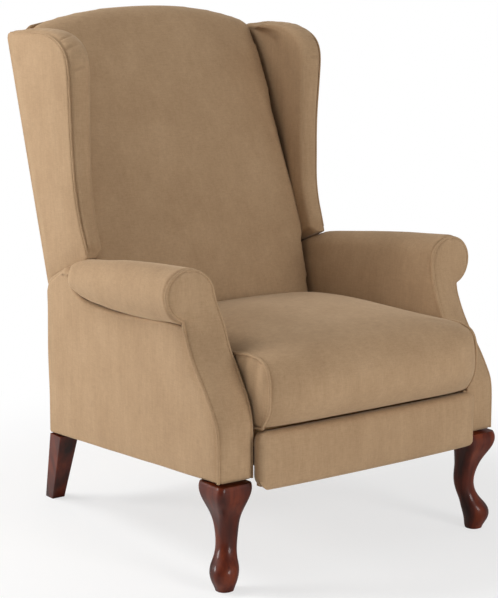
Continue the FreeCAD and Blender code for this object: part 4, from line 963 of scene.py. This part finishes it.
def make_facing(sign, word):
    """The arm's upholstered front: an S-curved face with a scroll at its head, piped all round."""
    across = spread(0.12, 12)
    rows = []
    for z in facing_heights():
        inner, outer = facing_out(z)
        outs = [lerp(inner, outer, u) for u in across]
        rows.append([Vector((out, sweep_at(z, out / ARM_WIDTH), z)) for out in outs])
    gaps = distances_of(rows)

    def places(i, j):
        point = rows[i][j]
        left, right, under, over = gaps[i][j]
        drop = edge_drop((min(left, right), over, under + 0.003), 0.0090)
        rise = puff(0.0035, (min(left, right), 0.03), (over, 0.03), (under, 0.03))
        fold = 0.0012 * math.exp(-((point.z - 0.488 - 0.10 * (point.x - 0.04)) / 0.0022) ** 2)
        fold *= ease(right, 0.0, 0.01) * (1 - ease(right, 0.025, 0.05))
        y = point.y + drop - rise + fold + cloth_ripple(point, 0.0008, 0.06, 11 * sign)
        inward = lerp(rows[i][0].x + 0.004, rows[i][-1].x - 0.004, across[j])
        return (arm_point(sign, point.x, y, point.z),
                arm_point(sign, inward, point.y + FACING_THICK, point.z))

    finish_piece(shell_over(f"arm_front_{word}", rows, places), "base", [f"arm_facing_{word}"])
    edges = [row[0] for row in rows] + [row[-1] for row in reversed(rows)]
    line = [arm_point(sign, point.x, point.y + 0.0050, point.z) for point in edges]
    make_welt(f"facing_welt_{word}", even(line, 420), "base", 0.0033)


def roll_section(y, count):
    """The cover's section across the arm: up the inside, round the roll and under to the crease."""
    offset, height, radius = roll_at(min(y, 0.20))
    crease = along(CREASE_LINE, y)
    neck = panel_out(y, CREASE)
    under = height - crease - 0.0025
    knots = [Vector((0.0012, 0, z)) for z in (0.215, 0.27, 0.33, 0.39, 0.44)]
    knots += [Vector((0.0018, 0, 0.48)), Vector((0.0040, 0, height - radius * 0.66))]
    for angle in (172, 150, 128, 106, 84, 62, 40, 20, 0, -18, -36, -54, -70, -84):
        turn = math.radians(angle)
        reach, rise = math.cos(turn), radius
        if angle < 0:
            reach, rise = reach ** 0.85, under
        knots.append(Vector((offset + radius * reach, 0, height + rise * math.sin(turn))))
    knots.append(Vector((neck - 0.012, 0, crease + 0.0045)))
    return curve_through(knots, count)


def make_arm_cover(sign, word):
    """The arm's inside, roll and overhang as one cover, from the seat up and over to the crease."""
    count = 84
    runs = [0.010 * step / 8 for step in range(8)]
    runs += [lerp(0.010, 0.560, step / 104) for step in range(105)]
    rows = []
    for run in runs:
        base_y = ARM_FRONT + SETBACK + run
        row = []
        for point in roll_section(base_y, count):
            out, z = point.x, point.z
            near = sweep_at(z, out / ARM_WIDTH) + COVER_SET_IN
            y = base_y
            if base_y < 0.05:
                y = lerp(near, 0.05, run / (0.05 - ARM_FRONT - SETBACK))
            end = ease(base_y, 0.150, 0.215)
            if out > 0.03:
                out = lerp(out, min(out, panel_out(y, z) - 0.003), end)
            z = lerp(z, min(z, parting(y)), ease(y, 0.13, 0.158))
            row.append(Vector((out, y, z)))
        rows.append(row)

    def places(i, j):
        point = rows[i][j]
        around = rows[i][min(j + 1, count - 1)] - rows[i][max(j - 1, 0)]
        away = Vector((0, 0, 1))
        if around.length > 1e-6:
            away = Vector((-around.z, 0, around.x)).normalized()
        drop = edge_drop((runs[i] + 0.0012,), 0.012)
        ripple = cloth_ripple(point, 0.0014, 0.07, 17 * sign)
        skin = point + away * (ripple - drop)
        inner = point - away * 0.010
        return (arm_point(sign, skin.x, skin.y, skin.z),
                arm_point(sign, max(inner.x, 0.003), inner.y, inner.z))

    finish_piece(shell_over(f"arm_cover_{word}", rows, places), "base",
                 [f"arm_roll_{word}", f"arm_inner_panel_{word}"])


def make_arm_side(sign, word):
    """The arm's outside panel, gathered a little under the roll."""
    rows = []
    for v in spread(0.03, 40):
        row = []
        for u in spread(0.02, 70):
            y = lerp(ARM_FRONT + FACING_THICK, ARM_REAR, u)
            top = lerp(along(CREASE_LINE, y) - 0.0012, parting(y) - 0.001, ease(y, 0.175, 0.212))
            z = lerp(foot_at(y), top, v)
            row.append(Vector((0, lerp(sweep_at(z, 1.0) + COVER_SET_IN, ARM_REAR, u), z)))
        rows.append(row)
    gaps = distances_of(rows)

    def places(i, j):
        point = rows[i][j]
        left, right, under, over = gaps[i][j]
        drop = edge_drop((right, under, left), 0.0060)
        round_top = edge_drop((over,), 0.006)
        rise = puff(0.0035, (right, 0.05), (under, 0.04), (left, 0.03))
        gather = 0.0013 * math.sin(point.y * 400 + 4 * noise.noise(point * 9))
        gather *= 1 - ease(over, 0.0, 0.05)
        gather *= ease(point.y, -0.25, -0.20) * (1 - ease(point.y, 0.08, 0.16))
        ripple = cloth_ripple(point, 0.0016, 0.10, 23 * sign)
        plain = panel_out(point.y, point.z)
        skin = plain - drop - round_top + rise + gather + ripple
        return (arm_point(sign, skin, point.y, point.z),
                arm_point(sign, plain - 0.011, point.y, point.z))

    finish_piece(shell_over(f"arm_side_{word}", rows, places), "base", [f"arm_outer_panel_{word}"])


def make_arm_rear(sign, word):
    """The narrow panel that closes the arm behind."""
    def places(v, u):
        z = lerp(foot_at(ARM_REAR) + 0.001, parting(ARM_REAR) - 0.002, v)
        out = lerp(0.0005, panel_out(ARM_REAR, z) - 0.003, u)
        side = min(u, 1 - u) * 0.05
        end = min(v, 1 - v) * 0.32
        drop = edge_drop((side, end), 0.004)
        y = ARM_REAR + 0.002 - drop + puff(0.002, (side, 0.02), (end, 0.03))
        return arm_point(sign, out, y, z), arm_point(sign, out, ARM_REAR - 0.006, z)

    piece = make_shell(f"arm_back_{word}", *two_grids(spread(0.02, 30), spread(0.14, 10), places))
    finish_piece(piece, "base", [f"arm_rear_panel_{word}"])


# Wings

# Y and height of a wing's front edge, from its foot up and over to its rear corner
WING_EDGE = ((0.1530, 0.5665), (0.1635, 0.594), (0.1795, 0.638), (0.1905, 0.690), (0.1955, 0.760),
             (0.1965, 0.840), (0.1945, 0.900), (0.1935, 0.950), (0.2005, 0.978), (0.2170, 0.997),
             (0.2450, 1.0105), (0.2750, 1.0170), (0.3100, 1.0190), (0.3500, 1.0190))
WING_ROWS = 220


def back_plane(z):
    """Y of the back's rear plane at a height."""
    return BACK_FOOT[0] + BACK_SLOPE * (z - BACK_FOOT[1])


def wing_rows():
    """The wing's side view as a grid: rows run from its front edge to its rear edge."""
    front_line = curve_through([Vector((0, y, z)) for y, z in WING_EDGE], WING_ROWS)
    rows = []
    for index, point in enumerate(front_line):
        rise = (point.z - front_line[0].z) / (front_line[-1].z - front_line[0].z)
        z = lerp(BACK_LOW, BACK_HIGH, lerp(rise, index / (WING_ROWS - 1), 0.25))
        end = Vector((0, back_plane(z) - 0.0045 - edge_drop((BACK_HIGH - z,), 0.010), z))
        rows.append([point.lerp(end, u) for u in spread(0.10, 22)])
    return rows


# Across a wing's border, from the seam to the inner edge: how far it stands out, by share
BORDER = ((0.0, 0.0), (0.03, -0.0010), (0.07, 0.0014), (0.16, 0.0060), (0.30, 0.0088),
          (0.50, 0.0100), (0.70, 0.0099), (0.86, 0.0086), (0.96, 0.0066), (1.0, 0.0052))
BORDER_SHARES = (0.015, 0.03, 0.05, 0.075, 0.11, 0.16, 0.23, 0.32, 0.42, 0.52, 0.62, 0.72, 0.80,
                 0.87, 0.93, 0.97)
# Pleats across the border: how far along the wing's edge, and how wide
PLEATS = ((0.392, 0.0020), (0.434, 0.0024), (0.462, 0.0022))


def make_wing(sign, word):
    """A wing: a flat outside, a border in front and over the top, and a soft inside."""
    rows = wing_rows()
    gaps = distances_of(rows)
    tall, wide = len(rows), len(rows[0])

    def places(i, j):
        point = rows[i][j]
        left, right, under, over = gaps[i][j]
        drop = edge_drop((left, over, under + 0.002), 0.004)
        rise = puff(0.0035, (min(left, over), 0.05), (right, 0.03), (under, 0.04))
        ripple = cloth_ripple(point, 0.0014, 0.09, 31 * sign)
        far = WING_OUT + (point.z - BACK_FOOT[1]) * WING_LEAN
        round_in = edge_drop((left + 0.001, over + 0.001, under + 0.003), 0.0100)
        swell = puff(0.0125, (min(over, under), 0.016)) * (1 - ease(left, 0.020, 0.100))
        return (Vector((sign * (far - drop + rise + ripple), point.y, point.z)),
                Vector((sign * (WING_INSIDE + round_in - swell + ripple), point.y, point.z)))

    front, back = two_grids(range(tall), range(wide), places)
    outwards = []
    for i in range(tall):
        run = (rows[min(i + 1, tall - 1)][0] - rows[max(i - 1, 0)][0]).normalized()
        outwards.append(Vector((0, -run.z, run.y)))

    def forward(i):
        return outwards[i] * ease(i, 0, 12)

    def upward(i, j):
        left, right = gaps[i][j][:2]
        return Vector((0, 0, lerp(1.0, 0.55, ease(left / (left + right + 1e-9)))))

    ring = rim_of(tall, wide)
    lead = [forward(i) if j == 0 else upward(i, j) if i == tall - 1 else Vector()
            for i, j in ring]
    for i in range(tall):
        for j in range(wide):
            left, _, _, over = gaps[i][j]
            near = forward(i) * (1 - ease(left, 0, 0.03))
            near = near.lerp(upward(i, j), 1 - ease(over, 0, 0.02))
            back[i][j] += near * BORDER[-1][1]
    bands = []
    for share in BORDER_SHARES:
        band = []
        for (i, j), push in zip(ring, lead):
            start, end = front[i][j], back[i][j] - push * BORDER[-1][1]
            stand = along(BORDER, share)
            if j == 0:
                for at, width in PLEATS:
                    run = gaps[i][0][2] - at - 0.014 * (share - 0.3)
                    deep = math.exp(-(run / width) ** 2)
                    stand -= 0.0032 * deep * ease(share, 0.03, 0.15) * (1 - ease(share, 0.55, 0.9))
            else:
                stand -= 0.0020 * math.exp(-((share - 0.035) / 0.03) ** 2)
            ripple = cloth_ripple(start + push, 0.0010, 0.035, 41 * sign) * ease(share, 0.05, 0.2)
            band.append(start.lerp(end, share) + push * (stand + ripple))
        bands.append(band)
    piece = make_shell(f"wing_cover_{word}", front, back, bands)
    finish_piece(piece, "back", [f"wing_panel_{word}", f"wing_pad_{word}"])
    seam = [front[i][0] + outwards[i] * 0.0008 for i in range(4, tall)]
    seam += [front[-1][j] + Vector((sign * 0.0006, 0, 0.0008)) for j in range(1, wide)]
    make_welt(f"wing_seam_{word}", even(seam, 300), "back", 0.0020)


# Back of the chair

APRON_LOW, APRON_HIGH = 0.3015, 0.4870
APRON_HALF = 0.258
OUTSIDE_OUT = 0.307
REAR_LOW, REAR_HIGH = 0.1635, 0.3495
REAR_HALF = 0.2675


def cover_back(name, low, top_at, half_at):
    """A covered panel on the back's rear plane, from its top's height and its half width."""
    grid = []
    for v in spread(0.03, 44):
        row = []
        for u in spread(0.03, 50):
            across = 2 * u - 1
            z = lerp(low, top_at(across), v)
            row.append(Vector((across * half_at(across, z), back_plane(z), z)))
        grid.append(row)
    gaps = distances_of(grid)

    def places(i, j):
        left, right, under, over = gaps[i][j]
        drop = edge_drop((min(left, right), over, under), 0.004)
        rise = puff(0.0045, (min(left, right), 0.08), (over, 0.08), (under, 0.06))
        point = grid[i][j]
        ripple = cloth_ripple(point, 0.0016, 0.12, 53)
        return point + Vector((0, rise + ripple - drop, 0)), point + Vector((0, -0.0055, 0))

    finish_piece(shell_over(name, grid, places), "back", ["outside_back"])
    return grid


def outside_top(across):
    """Height of the outside back's arched top."""
    return BACK_HIGH + 0.0385 * (1 - abs(across) ** 2.0) * (1 - ease(abs(across), 0.84, 0.88))


def outside_half(across, z):
    """Half width of the outside back, cut round at its top corners."""
    cut = edge_drop((max(BACK_HIGH - z, 0),), 0.012) * ease(abs(across), 0.90, 1.0)
    return OUTSIDE_OUT + (z - BACK_FOOT[1]) * WING_LEAN - cut


def make_outside_back():
    """The covered panel behind the back, piped at its sides and over its arch, and its apron."""
    grid = cover_back("outside_back_cover", BACK_LOW, outside_top, outside_half)
    cover_back("back_apron", APRON_LOW, lambda across: APRON_HIGH, lambda across, z: APRON_HALF)
    line = [row[0] for row in grid] + grid[-1][1:] + [row[-1] for row in reversed(grid[:-1])]
    line = even([point + Vector((0, -0.002, 0)) for point in line], 520)
    make_welt("outside_back_welt", line, "back", 0.0026)


def make_rear_cover():
    """The panel across the chair's rear, under the back."""
    def places(v, u):
        x, z = lerp(-REAR_HALF, REAR_HALF, u), lerp(REAR_LOW, REAR_HIGH, v)
        side = min(u, 1 - u) * 0.535
        end = min(v, 1 - v) * 0.186
        drop = edge_drop((side, end), 0.004)
        y = ARM_REAR + 0.0015 - drop + puff(0.003, (side, 0.06), (end, 0.05))
        y += cloth_ripple(Vector((x, 0, z)), 0.0014, 0.1, 61)
        return Vector((x, y, z)), Vector((x, ARM_REAR - 0.0055, z))

    piece = make_shell("rear_panel_cover", *two_grids(spread(0.04, 24), spread(0.02, 50), places))
    finish_piece(piece, "base", ["rear_cover"])
    line = [Vector((lerp(-0.266, 0.266, step / 60), ARM_REAR, REAR_HIGH)) for step in range(61)]
    make_welt("rear_panel_welt", line, "base", 0.0024)


make_seat_cushion()
make_back_cushion()
make_footrest_pad()
make_outside_back()
make_rear_cover()
for side_word, side_sign in SIDES:
    make_facing(side_sign, side_word)
    make_arm_cover(side_sign, side_word)
    make_arm_side(side_sign, side_word)
    make_arm_rear(side_sign, side_word)
    make_wing(side_sign, side_word)
